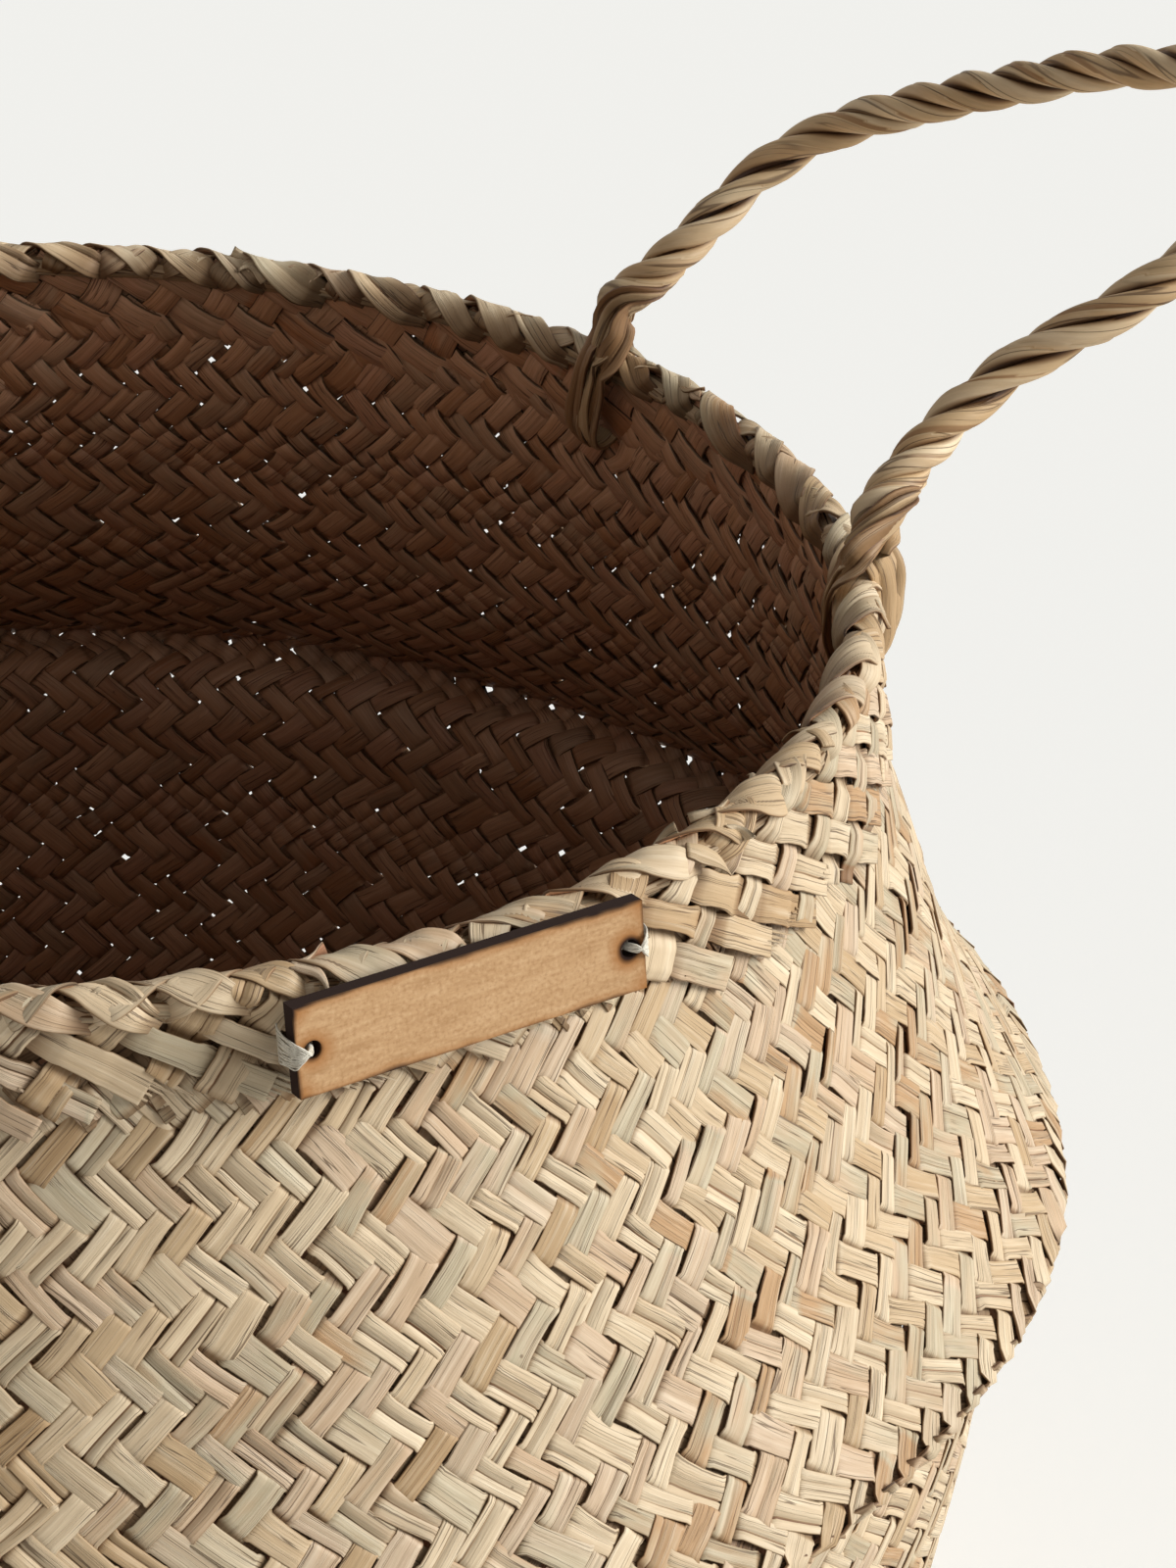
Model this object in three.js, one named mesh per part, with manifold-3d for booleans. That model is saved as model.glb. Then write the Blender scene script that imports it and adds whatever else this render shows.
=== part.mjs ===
// Belly basket: a plaited seagrass basket with a folded belly, a narrow neck and two rope handles.
// Millimetres, +Z up. The origin is the middle of the underside. The handles stand at +X and -X.

import * as THREE from 'three';
import { mergeVertices } from 'three/addons/utils/BufferGeometryUtils.js';
import Module from 'manifold-3d';

const wasm = await Module();
wasm.setup();

// Driving sizes of the basket
const rimTopHeight = 300;       // underside to the top of the rim border
const rimRadius = 148;          // axis to the middle of the rim border
const rollRadius = 5.5;         // half the thickness of the rim border
const ridgeRadius = 195;        // axis to the outer edge of the belly fold
const ridgeDepth = 111;         // middle of the rim border down to the belly fold
const baseRadius = 120;         // flat part of the underside
const wallThickness = 3.5;      // the plaited wall and floor
const bandHeight = 38;          // leaf ends turned down outside the neck
const bandThickness = 2;
const seatGap = 0.3;            // between pieces that rest on each other

// Driving sizes of the handles and of the eyes that hold them
const ropeRadius = 4.4;
const bundleRadius = 2.8;       // one of the two bundles that a rope end splits into
const bundleBend = 4;           // bend of a bundle's middle line at the hole
const holeDepth = 21;           // middle of the rim border down to the middle of a rope hole
const holeSlack = 1;            // round a bundle in its hole, besides the seat gap
const eyeHalfSpacing = 55.5;    // middle of the handle to each of its eyes
const handleHeight = 112;       // hinge line to the middle of the rope at the top of the arch
const handleLean = 56;          // degrees outward from upright, as the handle rests

// Driving sizes of the tag and of its threads
const tagLength = 60;
const tagHeight = 14.8;
const tagThickness = 3;
const tagHoleRadius = 1.5;
const tagHoleSpacing = 54.7;
const tagDepth = 6.4;           // middle of the rim border down to the middle of the tag
const tagAngle = -82.7;         // degrees round the basket from the right handle
const tagLean = 8;              // degrees that its top edge leans in, as the neck does
const tagRoll = 2.1;            // degrees that its right end is tied higher than its left
const threadRadius = 0.8;

// Fineness of the round surfaces, in facets
const ringFacets = 60;
const rollFacets = 8;
const ropeFacets = 8;
const ropeSteps = 46;
const footRings = 6;
const bundleFacets = 8;
const bundleSteps = 24;
const threadFacets = 6;
const threadSteps = 14;
const holeFacets = 16;
const tagHoleFacets = 10;

// Outer outline of the shoulder, from under the rim border down to the belly fold:
// shares of the ridge depth, and of the way from the rim's radius to the ridge's radius.
const shoulderShares = [
  [0.198, 0.082],
  [0.342, 0.175],
  [0.468, 0.285],
  [0.600, 0.400],
  [0.733, 0.540],
  [0.867, 0.745],
  [0.964, 0.925],
];

// Outer outline of the lower wall, from just under the belly fold down to the underside:
// shares of the ridge's height, and of the way from the base's radius to the ridge's radius.
const lowerShares = [
  [0.978, 0.975],
  [0.952, 0.892],
  [0.915, 0.852],
  [0.845, 0.850],
  [0.710, 0.820],
  [0.545, 0.760],
  [0.370, 0.655],
  [0.218, 0.500],
  [0.093, 0.306],
  [0.022, 0.120],
];

// Middle line of the handle rope from the back foot over the arch to the front foot:
// shares of the eye spacing, and of the handle height. The arch sags towards the front.
const archShares = [
  [1.00, 0.00],
  [0.94, 0.075],
  [0.96, 0.21],
  [1.01, 0.37],
  [0.96, 0.49],
  [0.79, 0.60],
  [0.60, 0.70],
  [0.36, 0.80],
  [0.14, 0.89],
  [-0.10, 0.96],
  [-0.38, 1.00],
  [-0.66, 0.97],
  [-0.88, 0.88],
  [-0.98, 0.76],
  [-1.00, 0.645],
  [-0.95, 0.51],
  [-0.88, 0.39],
  [-0.86, 0.265],
  [-0.90, 0.13],
  [-1.00, 0.00],
];

// Heights and places that several pieces share
const rimZ = rimTopHeight - rollRadius;
const ridgeZ = rimZ - ridgeDepth;
const wallTopZ = rimZ - rollRadius - seatGap;
const wallTopRadius = rimRadius + wallThickness / 2;
const hingeX = Math.sqrt(rimRadius ** 2 - eyeHalfSpacing ** 2);
const hingeZ = rimTopHeight + seatGap + ropeRadius;
const eyeAngle = Math.asin(eyeHalfSpacing / rimRadius);
const eyeReach = rollRadius + seatGap + bundleRadius;

const straw = { color: 0xc9b28a, roughness: 0.75, metalness: 0 };
const paleStraw = { color: 0xd2bd96, roughness: 0.75, metalness: 0 };
const ropeStraw = { color: 0xb79a6c, roughness: 0.7, metalness: 0 };
const tagWood = { color: 0xc79a68, roughness: 0.65, metalness: 0 };
const cotton = { color: 0xd9d2c2, roughness: 0.9, metalness: 0 };

const basket = new THREE.Group();

function addMesh(parent, name, geometry, finish) {
  const mesh = new THREE.Mesh(geometry, new THREE.MeshStandardMaterial(finish));
  mesh.name = name;
  parent.add(mesh);
  return mesh;
}

// Solids for cutting and joining

function toSolid(geometry) {
  const bare = geometry.clone();
  bare.deleteAttribute('normal');
  bare.deleteAttribute('uv');
  const merged = mergeVertices(bare);
  const triVerts = new Uint32Array(merged.index.array);
  const vertProperties = new Float32Array(merged.attributes.position.array);
  return new wasm.Manifold(new wasm.Mesh({ numProp: 3, vertProperties, triVerts }));
}

function toGeometry(solid) {
  const mesh = solid.getMesh();
  const geometry = new THREE.BufferGeometry();
  geometry.setAttribute('position', new THREE.BufferAttribute(new Float32Array(mesh.vertProperties), 3));
  geometry.setIndex(new THREE.BufferAttribute(new Uint32Array(mesh.triVerts), 1));
  geometry.computeVertexNormals();
  return geometry;
}

// Turned outlines

function turned(outline) {
  const geometry = new THREE.LatheGeometry(outline, ringFacets);
  geometry.rotateX(Math.PI / 2);
  return geometry;
}

function outerWall() {
  const wall = [new THREE.Vector2(wallTopRadius, wallTopZ)];
  const flare = ridgeRadius - wallTopRadius;
  for (const [down, outward] of shoulderShares) {
    wall.push(new THREE.Vector2(wallTopRadius + flare * outward, rimZ - ridgeDepth * down));
  }
  wall.push(new THREE.Vector2(ridgeRadius, ridgeZ));
  for (const [up, outward] of lowerShares) {
    wall.push(new THREE.Vector2(baseRadius + (ridgeRadius - baseRadius) * outward, ridgeZ * up));
  }
  wall.push(new THREE.Vector2(baseRadius, 0));
  return wall;
}

function shifted(outline, index, distance) {
  const before = outline[Math.max(index - 1, 0)];
  const after = outline[Math.min(index + 1, outline.length - 1)];
  const along = after.clone().sub(before).normalize();
  const inward = new THREE.Vector2(along.y, -along.x);
  return outline[index].clone().addScaledVector(inward, distance);
}

// Radius of the neck's outer face at a depth below the middle of the rim border
function neckRadius(depth) {
  const wall = outerWall();
  const z = rimZ - depth;
  for (let i = 0; i < wall.length - 1; i += 1) {
    const [upper, lower] = [wall[i], wall[i + 1]];
    if (z <= upper.y && z >= lower.y) {
      const share = (upper.y - z) / (upper.y - lower.y);
      return upper.x + (lower.x - upper.x) * share;
    }
  }
  return wallTopRadius;
}

// Rope holes, bored through the wall and the band at each eye

function ropeHole(angle) {
  const bore = bundleRadius + seatGap + holeSlack;
  const length = 4 * eyeReach;
  const geometry = new THREE.CylinderGeometry(bore, bore, length, holeFacets);
  geometry.rotateZ(Math.PI / 2);
  geometry.translate(rimRadius, 0, rimZ - holeDepth);
  geometry.rotateZ(angle);
  return toSolid(geometry);
}

function withRopeHoles(geometry) {
  let solid = toSolid(geometry);
  for (const side of [0, Math.PI]) {
    for (const angle of [side - eyeAngle, side + eyeAngle]) {
      solid = solid.subtract(ropeHole(angle));
    }
  }
  return toGeometry(solid);
}

// Woven body: floor, lower wall, belly fold, shoulder and neck as one shell

function wovenBody() {
  const outer = outerWall();
  const inner = outer.map((point, index) => shifted(outer, index, wallThickness));
  inner[0] = new THREE.Vector2(wallTopRadius - wallThickness, wallTopZ);
  inner[inner.length - 1] = new THREE.Vector2(baseRadius, wallThickness);
  const middle = [new THREE.Vector2(0, 0), new THREE.Vector2(0, wallThickness)];
  const outline = [middle[0], ...[...outer].reverse(), ...inner, middle[1]];
  return withRopeHoles(turned(outline));
}

// Turned-down band: follows the neck's outer face with the seat gap

function turnedDownBand() {
  const depths = [rollRadius + seatGap];
  for (const [down] of shoulderShares) {
    if (ridgeDepth * down < bandHeight) depths.push(ridgeDepth * down);
  }
  depths.push(bandHeight);
  const inside = depths.map((d) => new THREE.Vector2(neckRadius(d) + seatGap, rimZ - d));
  const outside = inside.map((point) => new THREE.Vector2(point.x + bandThickness, point.y));
  const outline = [...[...outside].reverse(), ...inside];
  outline.push(outline[0].clone());
  return withRopeHoles(turned(outline));
}

// Rim border: a closed ring over the wall's upper edge

function rimBorder() {
  const outline = [];
  for (let i = 0; i <= rollFacets; i += 1) {
    const turn = (i % rollFacets) / rollFacets * 2 * Math.PI;
    outline.push(new THREE.Vector2(
      rimRadius + rollRadius * Math.cos(turn),
      rimZ + rollRadius * Math.sin(turn),
    ));
  }
  return turned(outline);
}

// Tubes

function roundSection(radius, facets) {
  const corners = [];
  for (let i = 0; i < facets; i += 1) {
    const turn = (i + 0.5) / facets * 2 * Math.PI;
    corners.push(new THREE.Vector2(radius * Math.cos(turn), radius * Math.sin(turn)));
  }
  return new THREE.Shape(corners);
}

function tube(path, radius, facets, steps) {
  return new THREE.ExtrudeGeometry(roundSection(radius, facets), {
    steps,
    extrudePath: path,
    bevelEnabled: false,
  });
}

// Handle rope: an arch in the plane of its hinge line, with a round foot on the hinge line at each end.
// Local frame: the middle of the hinge line, +Y towards the back foot, +Z up the arch.

function handleRope() {
  const middles = archShares.map(([across, up]) => new THREE.Vector3(
    0,
    eyeHalfSpacing * across,
    handleHeight * up,
  ));
  const path = new THREE.CatmullRomCurve3(middles, false, 'centripetal');
  let solid = toSolid(tube(path, ropeRadius, ropeFacets, ropeSteps));
  for (const end of [middles[0], middles[middles.length - 1]]) {
    const foot = new THREE.SphereGeometry(ropeRadius, ropeFacets, footRings);
    foot.translate(end.x, end.y, end.z);
    solid = solid.add(toSolid(foot));
  }
  return toGeometry(solid);
}

// Rope eye: a bundle inside the wall and one outside it, joined through the rope hole. Each comes down
// past the rim border and then lies along the neck.
// Local frame: the middle of the rim border, +X outward, +Z up.

function eyeBend(footX, side) {
  return [0, 0.5, 1].map((share) => {
    const turn = share * Math.PI / 2;
    return new THREE.Vector3(
      footX + side * bundleBend * (1 - Math.cos(turn)),
      0,
      bundleBend - holeDepth - bundleBend * Math.sin(turn),
    );
  });
}

function eyeArm(footX, side) {
  return [
    new THREE.Vector3(side * eyeReach, 0, rollRadius - seatGap),
    new THREE.Vector3(side * eyeReach, 0, 0),
    new THREE.Vector3((footX + side * eyeReach) / 2, 0, (bundleBend - holeDepth) / 2),
  ];
}

function ropeEye() {
  const neck = neckRadius(holeDepth - bundleBend) - rimRadius;
  const insideX = neck - wallThickness - seatGap - bundleRadius;
  const outsideX = neck + bandThickness + 2 * seatGap + bundleRadius;
  const inside = [...eyeArm(insideX, -1), ...eyeBend(insideX, 1)];
  const outside = [...eyeArm(outsideX, 1), ...eyeBend(outsideX, -1)];
  const path = new THREE.CatmullRomCurve3([...inside, ...outside.reverse()], false, 'centripetal');
  return tube(path, bundleRadius, bundleFacets, bundleSteps);
}

// One handle with its two eyes, standing at +X. turn carries it round the basket.

function addHandle(name, turn) {
  const side = new THREE.Group();
  side.rotation.z = turn;
  basket.add(side);
  const rope = addMesh(side, `${name}_rope`, handleRope(), ropeStraw);
  rope.position.set(hingeX, 0, hingeZ);
  rope.rotation.y = THREE.MathUtils.degToRad(handleLean);
  const faces = turn === 0 ? ['back', 'front'] : ['front', 'back'];
  faces.forEach((face, index) => {
    const place = new THREE.Group();
    place.rotation.z = index === 0 ? eyeAngle : -eyeAngle;
    side.add(place);
    const eye = addMesh(place, `${name}_${face}_eye`, ropeEye(), ropeStraw);
    eye.position.set(rimRadius, 0, rimZ);
  });
}

// Tag: a plate with two holes, and the thread that ties each end.
// Local frame: the middle of the plate's back face, +X along the basket, +Y up, +Z away from the basket.

function tagPlate() {
  const shape = new THREE.Shape();
  shape.moveTo(-tagLength / 2, -tagHeight / 2);
  shape.lineTo(tagLength / 2, -tagHeight / 2);
  shape.lineTo(tagLength / 2, tagHeight / 2);
  shape.lineTo(-tagLength / 2, tagHeight / 2);
  shape.closePath();
  for (const end of [-1, 1]) {
    const hole = new THREE.Path();
    hole.absarc(end * tagHoleSpacing / 2, 0, tagHoleRadius, 0, 2 * Math.PI, true);
    shape.holes.push(hole);
  }
  return new THREE.ExtrudeGeometry(shape, {
    depth: tagThickness,
    curveSegments: tagHoleFacets,
    bevelEnabled: false,
  });
}

// The plate's back face leans on the rim border and stays clear of the band below it
const tagTilt = THREE.MathUtils.degToRad(tagLean);
const tagSeat = Math.max(
  rimRadius + (rollRadius + seatGap + tagDepth * Math.sin(tagTilt)) / Math.cos(tagTilt),
  neckRadius(tagDepth + tagHeight / 2) + bandThickness + 2 * seatGap,
);

function tagTie(end) {
  const holeX = end * tagHoleSpacing / 2;
  const edgeX = end * (tagLength / 2 + seatGap + threadRadius);
  const front = tagThickness + 2 * seatGap + threadRadius;
  const seatRadius = neckRadius(tagDepth) + seatGap + bandThickness + seatGap + threadRadius;
  const back = (Math.sqrt(seatRadius ** 2 - edgeX ** 2) - tagSeat) / Math.cos(tagTilt);
  const route = [
    new THREE.Vector3(holeX, 0, 0),
    new THREE.Vector3(holeX, 0, tagThickness + seatGap),
    new THREE.Vector3((holeX + edgeX) / 2, 0, front),
    new THREE.Vector3(edgeX, 0, tagThickness + seatGap),
    new THREE.Vector3(edgeX, 0, 0),
    new THREE.Vector3(edgeX, 0, back),
  ];
  const path = new THREE.CatmullRomCurve3(route, false, 'centripetal');
  return tube(path, threadRadius, threadFacets, threadSteps);
}

function addTag() {
  const place = new THREE.Group();
  place.rotation.z = THREE.MathUtils.degToRad(tagAngle);
  basket.add(place);
  const seat = new THREE.Group();
  seat.position.set(tagSeat, 0, rimZ - tagDepth);
  seat.rotation.y = -tagTilt;
  place.add(seat);
  const board = new THREE.Group();
  board.rotation.set(Math.PI / 2, Math.PI / 2, THREE.MathUtils.degToRad(tagRoll));
  seat.add(board);
  addMesh(board, 'tag_plate', tagPlate(), tagWood);
  addMesh(board, 'tag_tie_left', tagTie(-1), cotton);
  addMesh(board, 'tag_tie_right', tagTie(1), cotton);
}

addMesh(basket, 'woven_body', wovenBody(), straw);
addMesh(basket, 'turned_down_band', turnedDownBand(), paleStraw);
addMesh(basket, 'rim_border', rimBorder(), paleStraw);
addHandle('handle_right', 0);
addHandle('handle_left', Math.PI);
addTag();

export default basket;
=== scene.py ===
# Belly basket: plaited seagrass strand by strand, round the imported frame. Metres, +Z up.

import math

import bpy
import numpy as np
from mathutils import Matrix, Vector


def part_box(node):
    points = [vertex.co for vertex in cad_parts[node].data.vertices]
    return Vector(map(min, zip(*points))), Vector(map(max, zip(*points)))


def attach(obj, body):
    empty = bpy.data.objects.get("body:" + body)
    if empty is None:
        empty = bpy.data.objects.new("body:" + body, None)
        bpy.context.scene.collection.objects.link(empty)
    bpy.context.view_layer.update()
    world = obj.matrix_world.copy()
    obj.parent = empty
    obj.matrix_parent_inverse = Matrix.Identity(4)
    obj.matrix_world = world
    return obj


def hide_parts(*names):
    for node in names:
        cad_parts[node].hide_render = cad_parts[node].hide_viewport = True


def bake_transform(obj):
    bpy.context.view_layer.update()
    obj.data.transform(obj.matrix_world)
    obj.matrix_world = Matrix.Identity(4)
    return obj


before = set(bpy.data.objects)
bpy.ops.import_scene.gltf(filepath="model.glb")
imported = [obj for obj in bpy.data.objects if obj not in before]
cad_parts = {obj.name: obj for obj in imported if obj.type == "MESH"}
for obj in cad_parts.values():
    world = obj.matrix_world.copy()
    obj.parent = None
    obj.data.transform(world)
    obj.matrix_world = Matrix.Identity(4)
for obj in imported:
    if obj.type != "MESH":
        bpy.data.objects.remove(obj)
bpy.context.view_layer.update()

MM = 0.001
SEED = 20

# Sizes that the frame gives
rim_low, rim_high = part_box("rim_border")
body_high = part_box("woven_body")[1]
ROLL_RADIUS = (rim_high.z - rim_low.z) / 2
RIM_RADIUS = rim_high.x - ROLL_RADIUS
RIM_Z = (rim_low.z + rim_high.z) / 2
RIDGE_RADIUS = body_high.x
WALL_TOP_Z = body_high.z

# Driving sizes of the basket, as in the frame's source
RIDGE_DEPTH = 111 * MM
BASE_RADIUS = 120 * MM
WALL_THICKNESS = 3.5 * MM
SEAT_GAP = 0.3 * MM
WALL_TOP_RADIUS = RIM_RADIUS + WALL_THICKNESS / 2
RIDGE_Z = RIM_Z - RIDGE_DEPTH

# Outer outline of the shoulder: shares of the ridge depth, and of the way out to the ridge
SHOULDER_SHARES = (
    (0.198, 0.082), (0.342, 0.175), (0.468, 0.285), (0.600, 0.400),
    (0.733, 0.540), (0.867, 0.745), (0.964, 0.925),
)
# Outer outline of the lower wall: shares of the ridge's height, and of the way from base to ridge
LOWER_SHARES = (
    (0.978, 0.975), (0.952, 0.892), (0.915, 0.852), (0.845, 0.850), (0.710, 0.820),
    (0.545, 0.760), (0.370, 0.655), (0.218, 0.500), (0.093, 0.306), (0.022, 0.120),
)

# The plait: strands in each leaning family, and the way along a strand from crossing to crossing
STRANDS = 152
CROSSING = 4.9 * MM
FLOOR_RADIUS = 148 * MM         # the lower wall turns into the square-started floor here
BAND_STRANDS = STRANDS // 2     # leaves are taken in pairs at the mouth
BAND_CROSSING = 8.1 * MM

# Rope eyes: where each rope goes through the wall
HINGE_X = 137.2 * MM
HINGE_Z = 304.7 * MM
EYE_HALF_SPACING = 55.5 * MM
EYE_ANGLE = math.atan2(EYE_HALF_SPACING, HINGE_X)
HOLE_DEPTH = 21 * MM
HOLE_PUSH = 3.4 * MM
HOLE_REACH = 4.6 * MM
HOLE_CORE = 0.2 * MM
LEAST_RADIUS = 1 * MM
EYES = tuple(turn + side * EYE_ANGLE for turn in (0, math.pi) for side in (1, -1))


# Curves through points

def summed(steps):
    """The running sum of steps, from zero."""
    return np.concatenate([[0], np.cumsum(steps)])


def way_along(points):
    """How far along the line each point lies."""
    return summed(np.linalg.norm(np.diff(points, axis=0), axis=1))


def catmull_rom(points, per_span):
    """Centripetal curve through the points, with per_span steps in each stretch."""
    p = np.asarray(points, float)
    p = np.vstack([2 * p[0] - p[1], p, 2 * p[-1] - p[-2]])
    line = []
    for i in range(1, len(p) - 2):
        quad = p[i - 1:i + 3]
        gaps = np.sqrt(np.linalg.norm(np.diff(quad, axis=0), axis=1))
        t = summed(gaps)
        u = np.linspace(t[1], t[2], per_span, endpoint=False)[:, None]
        a = [((t[k + 1] - u) * quad[k] + (u - t[k]) * quad[k + 1]) / (t[k + 1] - t[k]) for k in range(3)]
        b = [((t[k + 2] - u) * a[k] + (u - t[k]) * a[k + 1]) / (t[k + 2] - t[k]) for k in range(2)]
        line.append(((t[2] - u) * b[0] + (u - t[1]) * b[1]) / (t[2] - t[1]))
    return np.vstack([*line, p[-2:-1]])


def evenly(points, count):
    """The same line with count points at even steps."""
    lengths = way_along(points)
    wanted = np.linspace(0, lengths[-1], count)
    return np.stack([np.interp(wanted, lengths, points[:, k]) for k in range(points.shape[1])], -1)


def unit(v):
    return v / np.maximum(np.linalg.norm(v, axis=-1, keepdims=True), 1e-12)


def smooth_step(x, low, high):
    t = np.clip((x - low) / (high - low), 0, 1)
    return t * t * (3 - 2 * t)


def window(x, up_from, up_to, down_from, down_to):
    """0, then 1 between two places, and 0 again."""
    return smooth_step(x, up_from, up_to) * smooth_step(-x, -down_to, -down_from)


def round_axis(out, phi, z):
    """Points or directions from their way out, their angle and their height."""
    return np.stack([out * np.cos(phi), out * np.sin(phi), z], -1)


def from_back(angle):
    """The same angle between a half turn back and a half turn on."""
    return (angle + np.pi) % (2 * np.pi) - np.pi


# Meridian of the wall's middle surface, from the middle of the rim border down to the middle of the floor

MERIDIAN_STEPS = 1800
ABOVE_RIDGE = slice(MERIDIAN_STEPS // 3)        # a stretch that ends below the ridge
BELOW_RIDGE = slice(MERIDIAN_STEPS // 3, None)


def meridian():
    flare = RIDGE_RADIUS - WALL_TOP_RADIUS
    outer = [(WALL_TOP_RADIUS, RIM_Z), (WALL_TOP_RADIUS, WALL_TOP_Z)]
    outer += [(WALL_TOP_RADIUS + flare * out, RIM_Z - RIDGE_DEPTH * down) for down, out in SHOULDER_SHARES]
    outer.append((RIDGE_RADIUS, RIDGE_Z))
    outer += [(BASE_RADIUS + (RIDGE_RADIUS - BASE_RADIUS) * out, RIDGE_Z * up) for up, out in LOWER_SHARES]
    outer += [(BASE_RADIUS, 0), (BASE_RADIUS / 2, 0), (0, 0)]
    line = evenly(catmull_rom(outer, 24), MERIDIAN_STEPS)
    along = unit(np.gradient(line, axis=0))
    normal = np.stack([-along[:, 1], along[:, 0]], -1)
    middle = line - normal * WALL_THICKNESS / 2
    middle[:, 0] = np.maximum(middle[:, 0], 0)
    return way_along(middle), middle, normal


ARC, MIDDLE, NORMAL = meridian()
ARC_END = ARC[-1]


def on_meridian(m):
    """Radius and height of the middle surface, and its normal outward and up."""
    return [np.interp(m, ARC, table[:, k]) for table in (MIDDLE, NORMAL) for k in (0, 1)]


# Slow swells that keep the plaited wall from being a perfect turned shape
SWELLS = ((3, 0.7, 0.9 * MM), (5, 2.1, 0.5 * MM), (8, 4.4, 0.35 * MM), (13, 1.3, 0.2 * MM))
SWELL_DEPTH = 60 * MM


def swell(m, phi):
    total = sum(size * np.sin(count * phi + phase + m / SWELL_DEPTH) for count, phase, size in SWELLS)
    return total * np.clip(m / SWELL_DEPTH, 0, 1) * np.clip((ARC_END - m) / SWELL_DEPTH - 2, 0, 1)


def part_round_holes(m, phi):
    """Leaves move aside where a rope goes through."""
    r = on_meridian(m)[0]
    for angle in EYES:
        x = r * from_back(phi - angle)
        y = m - HOLE_DEPTH
        away = np.sqrt(x * x + y * y) + HOLE_CORE
        push = HOLE_PUSH * np.exp(-(away / HOLE_REACH) ** 2 / 2) / away
        phi = phi + np.where(r > 0, x * push / np.maximum(r, LEAST_RADIUS), 0)
        m = m + y * push
    return m, phi


def surface(m, phi, lift):
    """Points lift outside the wall's middle surface, and the outward normals there."""
    m, phi = part_round_holes(m, phi)
    r, z, nr, nz = on_meridian(m)
    normal = round_axis(nr, phi, nz)
    return round_axis(r, phi, z) + normal * (lift + swell(m, phi))[..., None], normal


# Lattices of crossings on the wall. q counts crossings down from the rim, and a strand keeps its index.

QUARTER = np.pi / 2


class Lattice:
    def __init__(self, strands, crossing, arc_end, spread, seed, skew=0.0):
        self.strands = strands
        self.skew = skew                # how far the crossings shift sideways on their way down
        self.arc = np.linspace(0, arc_end, 1500)
        r = on_meridian(self.arc)[0]
        step = 2 * np.pi * r / strands
        rise = np.sqrt(np.maximum(1 - (step / (2 * crossing)) ** 2, 0.04))
        slope = 1 / (crossing * rise)
        self.q = summed((slope[1:] + slope[:-1]) / 2 * np.diff(self.arc))
        self.q_end = self.q[-1]
        self.side = crossing * math.sqrt(2)
        self.floor_half = strands * self.side / 8
        rng = np.random.default_rng(SEED + seed)
        self.widths = {}
        self.edges = {}
        for family in (1, -1):
            widths = np.clip(rng.normal(1, spread, (strands // 4, 4)), 1 - 2 * spread, 1 + 2.2 * spread)
            widths = (widths / widths.mean(axis=1, keepdims=True)).ravel()
            self.widths[family] = widths
            self.edges[family] = summed(widths)

    def spread_out(self, family, index):
        """Where a leaf lies once its neighbours' widths are counted."""
        turns = np.floor(index / self.strands) * self.strands
        return turns + np.interp(index - turns, np.arange(self.strands + 1), self.edges[family])

    def counted(self, family, place):
        """Which leaf lies at a place."""
        turns = np.floor(place / self.strands) * self.strands
        return turns + np.interp(place - turns, self.edges[family], np.arange(self.strands + 1))

    def q_at(self, m):
        return np.interp(m, self.arc, self.q)

    def sector(self, family, index):
        """The quarter of the floor that a strand comes into, and where along its edge."""
        start = 2 * np.pi / self.strands * (index + family * self.q_end / 2)
        middle = np.floor(start / QUARTER + 0.5) * QUARTER
        return middle, (start - middle) / (QUARTER / 2) * self.floor_half

    def place(self, family, index, q):
        """Arc, angle and angle per strand. Family +1 turns forward on its way down, -1 backward."""
        m = np.interp(q, self.q, self.arc)
        phi = 2 * np.pi / self.strands * (index + family * q / 2) + self.skew * m / RIM_RADIUS
        turn = np.full_like(phi, 2 * np.pi / self.strands)
        return m, phi, turn

    def floor_place(self, family, index, q):
        """The same on the floor: four sectors of a square, drawn in to the round bottom."""
        middle, t0 = self.sector(family, index)
        n = np.maximum(self.floor_half - self.side * (q - self.q_end) / 2, 1e-6)
        t = t0 + family * (self.floor_half - n)
        m = self.arc[-1] + (ARC_END - self.arc[-1]) * (1 - n / self.floor_half)
        phi = middle + t / n * QUARTER / 2
        turn = self.side / n * QUARTER / 2 * np.ones_like(phi)
        return m, phi, turn

    def floor_reach(self, family, index):
        """Where a strand meets its partner of the next sector, on the floor's diagonal."""
        n_end = (self.floor_half + family * self.sector(family, index)[1]) / 2
        return self.q_end + 2 * (self.floor_half - n_end) / self.side


# Meshes

# A leaf's section, as shares of its half width and its thickness. The fine one can sink into a split.
LEAF_SECTION_SHARES = {
    "fine": ((-1, 0.15), (-0.985, 0.78), (-0.90, 0.96), (-0.09, 1.0), (0, 1.0), (0.09, 1.0), (0.90, 0.96),
             (0.985, 0.78), (1, 0.15), (0.92, -0.5), (-0.92, -0.5)),
    "plain": ((-1, 0.0), (-0.90, 0.88), (0.0, 1.0), (0.90, 0.88), (1, 0.0), (0.92, -0.5), (-0.92, -0.5)),
}
SPLIT_POINTS = {"fine": (3, 4, 5), "plain": ()}


def put_in_scene(name, data):
    thing = bpy.data.objects.new(name, data)
    bpy.context.scene.collection.objects.link(thing)
    return thing


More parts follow.
